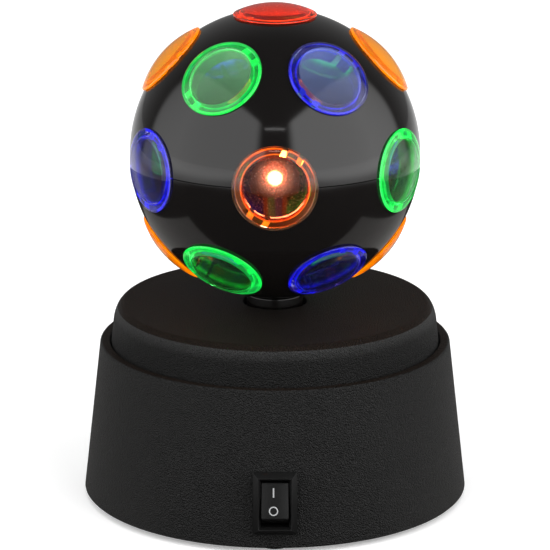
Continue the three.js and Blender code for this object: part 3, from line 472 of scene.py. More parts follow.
# %% Cut the switch opening and paint shade on the level rim
switch_height = 12.1 * mm
switch_frame = (Matrix.Translation((0, -wall_radius(switch_height), switch_height))
                @ Matrix.Rotation(pi / 2 - wall_lean, 4, "X"))
opening = add_box(Vector((8.9, 13.4, 8)) * mm)
opening.matrix_world = switch_frame @ opening.matrix_world
carve(base, opening)
tidy_mesh(base)
coat(base, grained_black, etched_and_shaded_black)
# The rim's flat top gets the darker etched copy of the finish: painted shade.
for face in base.data.polygons:
    if face.center.z > rim_z - 0.1 * mm and face.normal.z > 0.95:
        face.material_index = 1
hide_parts("base_body")
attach(base, "base")
print("base faces:", len(base.data.polygons))

# %% [markdown]
# ## Top cap
# The cap stands up from the shelf with a nearly upright side. A wide oval fillet leads over to
# the flat top, and it is the fillet that catches the light all the way round: its gloss rises with
# the height in a band there, a painted highlight band, and above that band the fillet's top part
# and the flat top get a darker finish: painted shade, on the flat top together with a finer etched
# grain. In the middle is the hole for the ball's neck, with a small round on its edge.

# %% Turn the top cap
cap_foot_radius = 40 * mm
shoulder_radius = 39.5 * mm
fillet_reach = 2.9 * mm
fillet_drop = 5.6 * mm
cap_wall = 2 * mm
neck_hole_radius = 7.66 * mm
hole_round = 0.5 * mm
flange_z = rim_z - 4.3 * mm
flange_top_z = rim_z - 2.3 * mm
flange_play = 0.3 * mm
flange_radius = wall_radius(flange_top_z) - base_wall - flange_play

cap = turn_profile("cap_shell", [
    (flange_radius, flange_z),
    (flange_radius, flange_top_z),
    (cap_foot_radius, flange_top_z),
    (cap_foot_radius, rim_z),
    *arc_points((shoulder_radius - fillet_reach, cap_z - fillet_drop),
                (fillet_reach, fillet_drop), 0, 90, 12),
    (26 * mm, cap_z),
    (14 * mm, cap_z),
    *arc_points((neck_hole_radius + hole_round, cap_z - hole_round),
                (hole_round, hole_round), 90, 180, 5),
    (neck_hole_radius, cap_z - cap_wall),
    (shoulder_radius - cap_wall, cap_z - cap_wall),
    (cap_foot_radius - cap_wall, flange_top_z),
    (cap_foot_radius - cap_wall, flange_z),
], around=192)
print("cap flange radius", flange_radius, "faces", len(cap.data.polygons))

# %% Give the cap a painted sheen band on its fillet and painted shade on its top
side_gloss = 0.3
sheen_band_gloss = 0.74
sheen_band_from = cap_z - 3.8 * mm
sheen_band_to = cap_z - 1.4 * mm
etched_drop = 1.2 * mm
cap_black = make_grained(
    "cap_black", grain_pitch, grain_depth, (0.0022, 0.0022, 0.0021), side_gloss)
# The gloss rising with the height over the fillet makes a painted highlight band.
painted_sheen_band = remap(cap_black, object_height(cap_black), side_gloss, sheen_band_gloss, sheen_band_from, sheen_band_to)
into_shader(cap_black, painted_sheen_band, "Specular IOR Level")
coat(cap, cap_black, etched_and_shaded_black)
# The flat top and the fillet's top part get the darker etched copy: painted shade, on the flat top
# together with a finer etched grain.
for face in cap.data.polygons:
    if face.center.z > cap_z - etched_drop and face.normal.z > 0.3:
        face.material_index = 1
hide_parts("top_cap")
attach(cap, "base")
print("dull faces:", sum(face.material_index for face in cap.data.polygons))

# %% [markdown]
# ## Polished black
# The polished black of the ball is nearly a mirror. What keeps it from looking like ink are faint
# differences in gloss, from wiping and handling, and a barely wavy surface from the mould. Two
# slow noises give these, one for the roughness and one for a very shallow bump.

# %% Make the polished black
polished_black = new_finish("polished_black", (0.0045, 0.0038, 0.0036), Roughness=0.1)
vary_roughness(polished_black, 14 * mm, 0.07, 0.13, detail=4)
add_bump(polished_black, 9 * mm, 0.012 * mm, 0.5, detail=1)

# %% [markdown]
# ## Ball
# The ball is two thin half shells that meet at a hairline seam, and each lens cap sits in a round
# hole. A sphere is cut in two with bisect, each half gets its wall from Solidify, and one set of
# round cutters bores the holes. The lower half has one more hole for the neck.

# %% Place the lens caps round the ball
ring_latitude = radians(43)
ring_names = ("front_right", "right", "rear_right", "rear_left", "left", "front_left")
ring_colours = ("blue", "amber", "green") * 2
lens_rows = {
    "upper": (ring_latitude, radians(30), ring_names, ring_colours, (32, 48, 20, 65, 10, 52)),
    "lower": (-ring_latitude, radians(30), ring_names, ring_colours, (70, 35, 55, 15, 42, 25)),
    "middle": (0, 0, ("front", "front_right", "rear_right", "rear", "rear_left", "front_left"),
               ("red", "green", "blue") * 2, (62, 75, 50, 80, 58, 68)),
}


def lens_matrix(azimuth, latitude, tab_turn):
    return (Matrix.Translation(ball_centre) @ Matrix.Rotation(azimuth, 4, "Z")
            @ Matrix.Rotation(pi / 2 - latitude, 4, "X") @ Matrix.Rotation(tab_turn, 4, "Z"))


lens_places = {"lens_top_red": ("red", lens_matrix(0, pi / 2, radians(30)), pi / 2)}
for row, (latitude, first_azimuth, names, colours, turns) in lens_rows.items():
    for i, (name, colour, turn) in enumerate(zip(names, colours, turns)):
        matrix = lens_matrix(first_azimuth + i * pi / 3, latitude, radians(turn))
        lens_places[f"lens_{row}_{name}_{colour}"] = (colour, matrix, latitude)
print(len(lens_places), "lens caps")

# %% Shape the two half shells
ball_wall = 1.8 * mm
hole_radius = 9.5 * mm
stem_hole_radius = 6.15 * mm


def bore_hole(shell, radius, matrix):
    """Cuts a round hole from the ball's middle outwards, along the matrix's Z."""
    deselect_all()
    bpy.ops.mesh.primitive_cylinder_add(
        vertices=96, radius=radius, depth=ball_radius, location=(0, 0, ball_radius))
    cutter = bpy.context.object
    cutter.matrix_world = matrix @ cutter.matrix_world
    carve(shell, cutter)


def make_half_shell(name, upper):
    deselect_all()
    bpy.ops.mesh.primitive_uv_sphere_add(
        segments=192, ring_count=96, radius=ball_radius, location=ball_centre)
    shell = bpy.context.object
    shell.name = name
    apply_place(shell)
    edit(shell)
    bpy.ops.mesh.select_all(action="SELECT")
    edge_z = ball_centre.z + (seam_gap if upper else 0)
    bpy.ops.mesh.bisect(plane_co=(0, 0, edge_z), plane_no=(0, 0, 1), use_fill=False,
                        clear_inner=upper, clear_outer=not upper)
    leave_edit()
    apply_modifier(shell, "SOLIDIFY", thickness=ball_wall, offset=-1, use_rim=True)
    for _, matrix, latitude in lens_places.values():
        if (latitude >= 0 if upper else latitude <= 0):
            bore_hole(shell, hole_radius, matrix)
    return shell


upper_shell = make_half_shell("upper_shell", True)
lower_shell = make_half_shell("lower_shell", False)
bore_hole(lower_shell, stem_hole_radius, lens_matrix(0, -pi / 2, 0))
for shell, node in ((upper_shell, "upper_ball_shell"), (lower_shell, "lower_ball_shell")):
    tidy_mesh(shell)
    coat(shell, polished_black)
    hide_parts(node)
    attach(shell, "ball")
print("shell faces:", len(upper_shell.data.polygons), len(lower_shell.data.polygons))

# %% [markdown]
# The neck is a short tube. Its stem is fixed in the ball's lowest hole, its shoulder carries the
# ball, and it drops through the hole in the cap onto the drive gear. It is turned as one ring,
# with a small round under the shoulder, where the light catches it.

# %% Turn the neck
neck_radius = 6.9 * mm
neck_bore = 3.13 * mm
spigot_radius = 5 * mm
stem_radius = 5.8 * mm
neck_low, neck_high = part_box("ball_neck")
spigot_top_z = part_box("ball_drive_gear")[1].z + 0.3 * mm
shoulder_z = ball_centre.z - 34.76 * mm
neck_round = 0.3 * mm

neck = turn_profile("neck_tube", [
    (neck_bore, neck_low.z),
    (spigot_radius - neck_round, neck_low.z),
    (spigot_radius, neck_low.z + neck_round),
    (spigot_radius, spigot_top_z),
    (neck_radius - neck_round, spigot_top_z),
    (neck_radius, spigot_top_z + neck_round),
    *arc_points((neck_radius - neck_round, shoulder_z - neck_round),
                (neck_round, neck_round), 0, 90, 4),
    (stem_radius, shoulder_z),
    (stem_radius, neck_high.z - neck_round),
    (stem_radius - neck_round, neck_high.z),
    (neck_bore, neck_high.z),
], around=96)
coat(neck, polished_black)
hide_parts("ball_neck")
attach(neck, "ball")
print("neck from", round(neck_low.z / mm, 2), "to", round(neck_high.z / mm, 2), "mm")

# %% [markdown]
# ## Lens caps
# A lens cap is a clear dome, rounder than the ball and thin at its edge, on a round skirt. The
# skirt drops into the hole, and two tabs, cut free by slots, have barbs that snap behind the shell.
# Seen from outside, the skirt is the bright ring under the dome, and the slots break that ring in
# two opposite places. One cap is turned and slotted about Z, with the ball's centre at the
# origin, and then copied.

# %% Turn one lens cap
skirt_radius = 9.2 * mm
skirt_wall = 1.35 * mm
skirt_inner = skirt_radius - skirt_wall
skirt_end = 29.65 * mm
dome_under = ball_radius + 0.3 * mm
dome_wall = 1.3 * mm
rim_step = 0.5 * mm
edge_thickness = 0.42 * mm
edge_round = 0.15 * mm
corner_fill = 0.1 * mm
fill_across = 0.4 * mm
fill_down = 0.3 * mm
pole_radius = 0.4 * mm


def height_on(sphere_radius, radius):
    return sqrt(sphere_radius ** 2 - radius ** 2)


skirt_high = height_on(dome_under, skirt_radius)
edge_bottom = height_on(dome_under, lens_radius)
rise = dome_radius - edge_bottom - edge_thickness
dome_curve = (lens_radius ** 2 + rise ** 2) / (2 * rise)
dome_middle = dome_radius - dome_curve
inner_curve = dome_curve - dome_wall


def dome_points(curve, from_radius, to_radius, steps):
    """Points of the dome's section, outside with its full curve, inside with a wall less."""
    points = []
    for i in range(steps + 1):
        radius = from_radius + (to_radius - from_radius) * i / steps
        points.append((radius, dome_middle + height_on(curve, radius)))
    return points


lens_profile = [
    *dome_points(dome_curve, pole_radius, skirt_inner, 9),
    *dome_points(dome_curve, skirt_inner + rim_step, lens_radius - edge_round, 3),
    (lens_radius, edge_bottom + edge_thickness - edge_round),
    (lens_radius, edge_bottom + edge_round / 2),
    (lens_radius - edge_round, edge_bottom),
    (skirt_radius + corner_fill, skirt_high),
    (skirt_radius, skirt_high - corner_fill),
    (skirt_radius, skirt_end + edge_round),
    (skirt_radius - edge_round, skirt_end),
    (skirt_inner, skirt_end),
    (skirt_inner, dome_middle + height_on(inner_curve, skirt_inner) - fill_down),
    *dome_points(inner_curve, skirt_inner - fill_across, pole_radius, 10),
]
lens_model = turn_profile("lens_model", lens_profile, around=96, ends="open")
dome_inside = dome_radius - dome_wall / 2
for outside in (True, False):
    select_where(lens_model, "VERT", lambda vertex: vertex.co.xy.length < pole_radius + 0.1 * mm
                 and (vertex.co.z > dome_inside) == outside)
    bpy.ops.mesh.edge_face_add()
    leave_edit()
tidy_mesh(lens_model)
print("dome curve", round(dome_curve / mm, 2), "mm, profile points:", len(lens_profile))

# %% Cut the slots and add the barbs
slot_width = 1.4 * mm
slot_across = 3.4 * mm
slot_place = 0.93 * skirt_radius
slot_top = skirt_high - 0.3 * mm
slot_length = slot_top - skirt_end + 2 * mm
tab_width = 2.6 * mm
barb_reach = 0.7 * mm
barb_root = 0.3 * mm
barb_height = 0.8 * mm
for side in (-1, 1):
    for edge in (-1, 1):
        place = (side * slot_place, edge * (tab_width + slot_width) / 2, slot_top - slot_length / 2)
        carve(lens_model, add_box((slot_across, slot_width, slot_length), place))
    barb = add_box(
        (barb_reach + barb_root, tab_width, barb_height),
        (side * (skirt_radius + barb_reach / 2 - barb_root), 0, skirt_end + barb_height / 2))
    bevel(barb, 0.12 * mm)
    carve(lens_model, barb, "UNION")
tidy_mesh(lens_model)
print("lens faces:", len(lens_model.data.polygons))

# %% [markdown]
# The four colours of the caps are one clear moulding with different dyes, in three finishes. The
# window lets most light through and has a thin film of dust. Towards the top of the ball, where the
# caps are seen edge on against the light, a share of plain colour is mixed in: a painted sheen. The
# rim outside the window and the skirt under it glow in the pure colour: painted light, an emission
# that stands in for the light that the thick plastic, seen end on, gathers. On the skirt that
# painted glow fades with the distance from the ball's centre, so that its lower end stays clear.

# %% Name the dyes, the painted sheen and glows, and where they change
dyes_and_glows = {
    "red": dict(window=(0.56, 0.13, 0.06), sheen_tint=(0.8, 0.05, 0.02), sheen_shares=(0.02, 0.5), dust=0.3,
                rim=(0.66, 0.42, 0.24), painted_rim_glow=0.01,
                edge=(1, 0.21, 0.01), painted_top_glow_colour=(0.75, 0.03, 0.02), painted_edge_glow=2.3),
    "green": dict(window=(0.22, 0.52, 0.26), sheen_tint=(0.5, 1, 0.6), sheen_shares=(0.03, 0.24), dust=0.08,
                  rim=(0.2, 0.9, 0.35), painted_rim_glow=0.36, edge=(0.01, 0.7, 0.1), painted_edge_glow=1),
    "blue": dict(window=(0.2, 0.2, 0.4), sheen_tint=(0.42, 0.58, 1), sheen_shares=(0.03, 0.24), dust=0.12,
                 rim=(0.38, 0.36, 0.75), painted_rim_glow=0.05, edge=(0.02, 0.02, 0.9), painted_edge_glow=1),
    "amber": dict(window=(1, 0.5, 0.05), sheen_tint=(1, 0.33, 0), sheen_shares=(0.55, 0.6), dust=0.05,
                  rim=(1, 0.5, 0.05), painted_rim_glow=0.3, edge=(1, 0.3, 0), painted_edge_glow=0.8),
}
clear_plastic = {"Roughness": 0.05, "IOR": 1.49}
dimmed_mirror = (0.3, 0.3, 0.3, 1)
painted_top_from = ball_centre.z + 8 * mm
painted_top_to = ball_centre.z + 36 * mm
glow_from = 33.2 * mm
glow_to = 34.5 * mm


# %% Make the clear dyed mouldings and their painted glows
def make_window(colour, dye_and_glow):
    clearest, top_sheen_share = dye_and_glow["sheen_shares"]
    finish = new_finish("window_" + colour, dye_and_glow["window"], Specular_Tint=dimmed_mirror,
                        Transmission_Weight=1 - clearest, **clear_plastic)
    height = object_height(finish)
    # Towards the top the window turns to the sheen tint and lets less light through: a painted
    # sheen.
    vary_colour(finish, height, dye_and_glow["window"], dye_and_glow["sheen_tint"], painted_top_from, painted_top_to)
    through = remap(finish, height, 1 - clearest, 1 - top_sheen_share, painted_top_from, painted_top_to)
    into_shader(finish, through, "Transmission Weight")
    specks = add_noise(finish, 0.4 * mm, 3, 0.7)
    film = add_noise(finish, 4 * mm, 3)
    dust = add_math(finish, "ADD", remap(finish, specks, 0, dye_and_glow["dust"], 0.57, 0.68),
                    remap(finish, film, 0.04, 0.1, 0.35, 0.7))
    into_shader(finish, dust, "Roughness")
    add_bump(finish, 5 * mm, 0.02 * mm, 0.4)
    return finish


def make_rim(colour, dye_and_glow):
    finish = new_finish("rim_" + colour, dye_and_glow["rim"], Emission_Color=(*dye_and_glow["edge"], 1),
                        Transmission_Weight=1, **clear_plastic)
    vary_roughness(finish, 2 * mm, 0.03, 0.1, detail=3)
    # The rim's emission is painted glow: the rim is no lamp.
    glow = dye_and_glow["painted_rim_glow"]
    clouds = remap(finish, add_noise(finish, 5 * mm), 0.7 * glow, 1.3 * glow, 0.3, 0.7)
    into_shader(finish, clouds, "Emission Strength")
    return finish


def make_edge(colour, dye_and_glow):
    finish = new_finish("edge_" + colour, dye_and_glow["edge"], Emission_Color=(*dye_and_glow["edge"], 1),
                        Roughness=0.1, IOR=1.49, Transmission_Weight=0.85)
    # The skirt's emission is painted glow; on the red caps it turns a deeper red towards the top of
    # the ball.
    if "painted_top_glow_colour" in dye_and_glow:
        vary_colour(finish, object_height(finish), dye_and_glow["edge"], dye_and_glow["painted_top_glow_colour"],
                    painted_top_from, painted_top_to, "Emission Color")
    # The painted glow fades out towards the skirt's lower end.
    fade = remap(finish, distance_from(finish, ball_centre), 0, 1, glow_from, glow_to, "SMOOTHSTEP")
    glow = dye_and_glow["painted_edge_glow"]
    streaks = remap(finish, add_noise(finish, 2.5 * mm), 0.4 * glow, 1.1 * glow, 0.35, 0.65)
    into_shader(finish, add_math(finish, "MULTIPLY", fade, streaks), "Emission Strength")
    return finish


lens_finishes = {
    colour: (make_window(colour, dye_and_glow), make_rim(colour, dye_and_glow),
             make_edge(colour, dye_and_glow)) for colour, dye_and_glow in dyes_and_glows.items()}

# %% Put a lens cap in each hole
skirt_top = skirt_high - 0.2 * mm
for name, (colour, matrix, _) in lens_places.items():
    lens = place_copy(lens_model, name.replace("lens_", "cap_"), Matrix.Identity(4))
    coat(lens, *lens_finishes[colour])
    for face in lens.data.polygons:
        out = face.center.xy.length
        if out > skirt_inner - 0.1 * mm:
            on_skirt = face.center.z < skirt_top and out < skirt_radius + 0.1 * mm
            face.material_index = 2 if on_skirt else 1
    lens.matrix_world = matrix
    apply_place(lens)
    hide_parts(name)
    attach(lens, "ball")
bpy.data.objects.remove(lens_model)
print("last lens cap:", lens.name)

# %% [markdown]
# ## Diodes
# Three round diodes lie on the carrier inside the ball. The front one shines straight out of the
# red cap and is the brightest spot of the photograph. A diode is turned about Z and laid down:
# flange, straight body and a round nose. The nose gives off the light.

# %% Measure where the diodes lie
led_low, led_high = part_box("led_front")
diode_z = (led_low.z + led_high.z) / 2
diode_tip = -led_low.y
diode_root = -led_high.y
print("diodes at height", diode_z, "reach", diode_tip)

# %% Name the lit colours
core_radius = 1.3 * mm
glow_radius = 2.3 * mm
body_share = 0.004
diodes = {
    "led_front": (0, (1, 0.8, 0.7), (1, 0.3, 0.1), 80, "led_warm"),
    "led_right": (2 * pi / 3, (0.5, 1, 0.6), (0.2, 1, 0.3), 12, "led_green"),
    "led_left": (4 * pi / 3, (0.4, 0.5, 1), (0.15, 0.25, 1), 12, "led_blue"),
}


def make_diode_finish(name, azimuth, core, body, strength):
    """The body glows in its colour; the middle of its nose, where the chip shines, far brighter."""
    finish = new_finish(name, body, Roughness=0.15)
    nose = (diode_tip * sin(azimuth), -diode_tip * cos(azimuth), diode_z)
    hot = remap(finish, distance_from(finish, nose), 1, 0, core_radius, glow_radius, "SMOOTHSTEP")
    vary_colour(finish, hot, body, core, 0, 1, "Emission Color")
    into_shader(finish, remap(finish, hot, body_share * strength, strength), "Emission Strength")
    return finish


# %% Turn the diodes and lay them on the carrier
diode_radius = 2.5 * mm
diode_flange = 2.9 * mm
flange_from = 6.3 * mm
diode_profile = [
    (diode_radius, diode_root),
    (diode_radius, flange_from),
    (diode_flange, flange_from),
    (diode_flange, flange_from + mm),
    (diode_radius, flange_from + mm),
    *arc_points((0, diode_tip - diode_radius), (diode_radius, diode_radius), 0, 85, 8),
]
diode_model = turn_profile("diode_model", diode_profile, ends="disc")
for name, (azimuth, core, body, strength, slot_name) in diodes.items():
    lay_down = (Matrix.Translation((0, 0, diode_z)) @ Matrix.Rotation(azimuth, 4, "Z")
                @ Matrix.Rotation(pi / 2, 4, "X"))
    diode = place_copy(diode_model, name.replace("led", "diode"), lay_down)
    coat(diode, make_diode_finish(name.replace("led", "lit"), azimuth, core, body, strength))
    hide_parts(name)
    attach(diode, "base")
bpy.data.objects.remove(diode_model)
print("diode faces:", len(diode.data.polygons))

# %% [markdown]
# ## Painted glow on the front cap
# The front cap glows round the place where the eye sees the diode: painted light that stands in
# for the diode's light scattered by the film of dust on the cap. One looks down at the lamp, so
# that place lies above the diode's own height. Specks of noise keep the painted glow from looking
# like one even spot.

# %% Paint the diode's glow on the front cap
halo_reach = 6 * mm
halo_rise = 6.7 * mm
window = lens_finishes["red"][0]
away = distance_from(window, (0, -dome_radius, diode_z + halo_rise))
near = remap(window, away, 1, 0, 0, halo_reach, "SMOOTHERSTEP")
specks = remap(window, add_noise(window, 0.5 * mm, 3, 0.7), 0.3, 0.8, 0.4, 0.66)
# The emission here is painted glow round a fixed place on the cap.
shader_of(window).inputs["Emission Color"].default_value = (1, 0.42, 0.26, 1)
into_shader(window, add_math(window, "MULTIPLY", near, specks), "Emission Strength")

# %% [markdown]
# ## Rocker switch
# A small snap-in switch: a chamfered bezel on the wall and a rocker between two pins. Both are
# modelled lying flat, X to the right, Y up the wall and Z out of it, and then laid onto the wall
# with the switch's frame. Inside its narrow lip the bezel slopes down to the rocker.

# %% Make the smooth satin black
satin_black = new_finish(
    "satin_black", (0.006, 0.006, 0.006), Roughness=0.36, Specular_IOR_Level=0.22)
vary_roughness(satin_black, 0.5 * mm, 0.3, 0.42, detail=3)
add_bump(satin_black, 0.12 * mm, 0.006 * mm, 0.6)

# %% Extrude and inset the switch body
bezel_size = Vector((10.5, 15, 2)) * mm
bezel_chamfer = 1.25 * mm
bezel_rim = 0.7 * mm
bezel_lip = 0.15 * mm
lip_drop = 1.1 * mm
bezel_back = 0.15 * mm
housing_depth = 12 * mm
housing_wall = 0.85 * mm
housing_floor = 1.5 * mm

switch_body = add_box((bezel_size.x, bezel_size.y, bezel_back), (0, 0, bezel_back * 1.5),
                      "switch_shell")
apply_place(switch_body)
select_where(switch_body, "FACE", lambda face: face.normal.z > 0.9)
extrude(bezel_size.z - 2 * bezel_back)
resize_at(bezel_size.z, 1 - 2 * bezel_chamfer / bezel_size.x, 1 - 2 * bezel_chamfer / bezel_size.y)
bpy.ops.mesh.inset(thickness=bezel_lip, depth=0)
bpy.ops.mesh.inset(thickness=bezel_rim - bezel_lip, depth=-lip_drop)
extrude(housing_floor - housing_depth - bezel_size.z + lip_drop)
leave_edit()
select_where(switch_body, "FACE", lambda face: face.normal.z < -0.9 and face.center.z > 0)
bpy.ops.mesh.inset(thickness=bezel_chamfer + bezel_rim - housing_wall, depth=0)
extrude(-housing_depth - bezel_back)
leave_edit()
bevel(switch_body, 0.09 * mm, 2, 25)
print("switch body faces", len(switch_body.data.polygons))

# %% Add the terminals and lay the switch body onto the wall
terminal_size = Vector((3, 0.8, 5.6)) * mm
terminal_drop = 2.2 * mm
window_length = bezel_size.y - 2 * (bezel_chamfer + bezel_rim)
for side in (-1, 1):
    terminal = add_box(terminal_size, (0, side * window_length / 4, -housing_depth - terminal_drop))
    bevel(terminal, 0.1 * mm)
    carve(switch_body, terminal, "UNION")
switch_body.matrix_world = switch_frame @ switch_body.matrix_world
tidy_mesh(switch_body)
coat(switch_body, satin_black)
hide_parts("switch_body")
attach(switch_body, "base")
print("rocker window", window_length, "long")

# %% [markdown]
# The rocker's face is dished: two flat halves that meet a little lower in the middle, which
# bisect makes by adding a line there. The upper end is pressed in, so the whole rocker is turned
# about its pin. Its marks, a bar for on and a ring for off, are white ink, a hair above the face.

# %% Shape the rocker
rocker_width = 6.35 * mm
face_half = 4.2 * mm
rocker_half = 5.15 * mm
rocker_shoulder = rocker_half / 4
rocker_belly = -rocker_half / 8
rocker_face = 3.95 * mm
rocker_keel = -rocker_face / 2
keel_half = 0.8 * mm
rocker_dish = 0.2 * mm
pivot_depth = 2.15 * mm
rocker_tilt = radians(13)

rocker = add_box((rocker_width, 2 * rocker_half, rocker_shoulder - rocker_belly),
                 (0, 0, (rocker_shoulder + rocker_belly) / 2), "rocker_cap")
apply_place(rocker)
select_where(rocker, "FACE", lambda face: face.normal.z > 0.9)
extrude(rocker_face - rocker_shoulder)
resize_at(rocker_face, 1, face_half / rocker_half)
leave_edit()
select_where(rocker, "FACE", lambda face: face.normal.z < -0.9)
extrude(rocker_keel - rocker_belly)
resize_at(rocker_keel, 1, keel_half / rocker_half)
bpy.ops.mesh.select_all(action="SELECT")
bpy.ops.mesh.bisect(plane_co=(0, 0, 0), plane_no=(0, 1, 0), use_fill=False)
leave_edit()
select_where(rocker, "VERT", lambda vertex: abs(vertex.co.y) < 0.01 * mm
             and vertex.co.z > rocker_face - 0.01 * mm)
bpy.ops.transform.translate(value=(0, 0, -rocker_dish))
leave_edit()
bevel(rocker, 0.14 * mm, 3)
print("rocker faces", len(rocker.data.polygons))

# %% Add the pin and lay the rocker in its window
pin_radius = 0.8 * mm
pin_reach = 0.6 * mm
deselect_all()
bpy.ops.mesh.primitive_cylinder_add(vertices=32, radius=pin_radius, rotation=(0, pi / 2, 0),
                                    depth=rocker_width + 2 * pin_reach)
pin = bpy.context.object
bevel(pin, 0.08 * mm, 1, 40)
carve(rocker, pin, "UNION")
rocker_frame = (switch_frame @ Matrix.Translation((0, 0, -pivot_depth))
                @ Matrix.Rotation(-rocker_tilt, 4, "X"))
rocker.matrix_world = rocker_frame @ rocker.matrix_world
tidy_mesh(rocker)
coat(rocker, satin_black)
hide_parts("switch_rocker")
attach(rocker, "rocker")

# %% Print the marks on the rocker
white_ink = new_finish("white_ink", (0.4, 0.41, 0.41), Roughness=0.5)
vary_colour(white_ink, 0.15 * mm, (0.33, 0.33, 0.34), (0.46, 0.47, 0.47), detail=3)
mark_side = -0.34 * mm
bar_y = 1.9 * mm
bar_size = Vector((0.34, 2.2)) * mm
ring_y = -2.4 * mm
ring_radius = 1.08 * mm
ring_stroke = 0.26 * mm
ink_height = 0.03 * mm
face_slope = atan(rocker_dish / face_half)


def mark_matrix(place_y):
    """Lies on the dished face at this height, tilted with that half of it."""
    face_z = rocker_face - rocker_dish * (1 - abs(place_y) / face_half)
    slope = face_slope if place_y > 0 else -face_slope
    return (rocker_frame @ Matrix.Translation((mark_side, place_y, face_z))
            @ Matrix.Rotation(slope, 4, "X"))


bar_mark = add_box((bar_size.x, bar_size.y, ink_height), name="mark_on")
bevel(bar_mark, 0.01 * mm)
bar_mark.matrix_world = mark_matrix(bar_y) @ bar_mark.matrix_world
ring_mark = turn_profile("mark_off", [
    (ring_radius, -ink_height / 2),
    (ring_radius, ink_height / 2),
    (ring_radius - ring_stroke, ink_height / 2),
    (ring_radius - ring_stroke, -ink_height / 2),
])
ring_mark.matrix_world = mark_matrix(ring_y)
for mark in (bar_mark, ring_mark):
    tidy_mesh(mark)
    coat(mark, white_ink)
    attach(mark, "rocker")

# %% [markdown]
# ## Feet
# Three rubber feet lift the skirt off the table by a millimetre. They are short discs with a
# rounded sole edge, turned once and copied.

# %% Turn the feet
foot_low, foot_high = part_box("foot_front")
foot_radius = (foot_high.x - foot_low.x) / 2
foot_round = 0.4 * mm
foot_model = turn_profile("foot_model", [
    (foot_radius - foot_round, foot_low.z),
    *arc_points((foot_radius - foot_round, foot_low.z + foot_round),
                (foot_round, foot_round), -60, 0, 3),
    (foot_radius, foot_high.z),
], ends="disc")
rubber = new_finish("rubber", (0.012, 0.012, 0.013), Roughness=0.85)
vary_colour(rubber, 1.5 * mm, (0.009, 0.009, 0.01), (0.02, 0.02, 0.021), detail=4)
add_bump(rubber, 0.2 * mm, 0.02 * mm, detail=3)
for name in ("foot_front", "foot_right", "foot_left"):
    low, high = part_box(name)
    foot = place_copy(foot_model, name.replace("foot", "rubber_foot"),
                      Matrix.Translation(((low.x + high.x) / 2, (low.y + high.y) / 2, 0)))
    coat(foot, rubber)
    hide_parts(name)
    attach(foot, "base")
bpy.data.objects.remove(foot_model)
print("foot radius", foot_radius)

# %% [markdown]
# ## Finishes for the inner works
# The pieces inside keep their solid shapes, because they are seen only through the caps or when
# the lamp is taken apart. Each still gets a finish of its own: drawn steel with fine lines along
# it, plated springs, brass, natural white moulding, the cells' sleeve and the leads.

# %% Make and give out the inner finishes
def make_metal(name, colour, low, high, stretch):
    finish = new_finish(name, colour, Metallic=1, Roughness=(low + high) / 2)
    lines = add_noise(finish, 0.4 * mm, detail=3, stretch=stretch)
    vary_roughness(finish, lines, low, high)
    add_bump(finish, lines, 0.01 * mm, 0.5)
    return finish


white_moulding = new_finish("white_moulding", (0.5, 0.48, 0.42), Roughness=0.45)
vary_colour(white_moulding, 6 * mm, (0.45, 0.43, 0.37), (0.54, 0.52, 0.46), detail=3)
add_bump(white_moulding, 0.5 * mm, 0.01 * mm)
cell_sleeve = new_finish("cell_sleeve", (0.05, 0.09, 0.15), Roughness=0.3)
vary_colour(cell_sleeve, 8 * mm, (0.035, 0.07, 0.12), (0.06, 0.11, 0.18))
lead_black = new_finish("lead_black", (0.012, 0.012, 0.012), Roughness=0.5)
vary_roughness(lead_black, 2 * mm, 0.4, 0.6)

finish_of_slot = {
    "black_moulding": grained_black,
    "steel": make_metal("drawn_steel", (0.55, 0.56, 0.58), 0.2, 0.42, (1, 1, 0.05)),
    "spring_steel": make_metal("plated_spring", (0.66, 0.65, 0.62), 0.15, 0.3, (0.3, 0.3, 0.3)),
    "brass": make_metal("turned_brass", (0.68, 0.48, 0.18), 0.2, 0.36, (1, 1, 6)),
    "white_moulding": white_moulding, "cell_sleeve": cell_sleeve, "lead_black": lead_black,
}
slot_of_node = {entry["node"]: entry["material_slot"] for entry in frame["record"]["subparts"]}
carried = 0
for name, node in frame["nodes"].items():
    finish = finish_of_slot.get(slot_of_node[name])
    if finish:
        coat(node, finish)
        carried += not node.hide_render
print("inner pieces finished:", carried)

# %% [markdown]
# ## Floor and light
# The lamp stands on a plain pale floor. The floor is lifted to white for the camera and for rays
# through the caps, more so away from the lamp, so that the lamp keeps its shadow. A glossy ball
# shows the whole room: two tall soft boxes stand close on the left and right, with a dark gap
# between them, and a thin bar hangs over the camera. A dark card round the lamp and a grey plate
# under it are seen only in the gloss.

# %% Helpers for the stage
surface_limit = 3.5
bounce_weight = 10


def seen_straight(owner, ray):
    """1 for camera rays, and for rays that came through one wall of a cap and met nothing else."""
    bounces = add_math(owner, "ADD", ray["Glossy Depth"], ray["Diffuse Depth"])
    met = add_math(owner, "MULTIPLY_ADD", bounces, bounce_weight, ray["Transmission Depth"])
    through = add_math(owner, "MULTIPLY", ray["Is Transmission Ray"],
                       add_math(owner, "LESS_THAN", met, surface_limit))
    return add_math(owner, "MAXIMUM", ray["Is Camera Ray"], through)


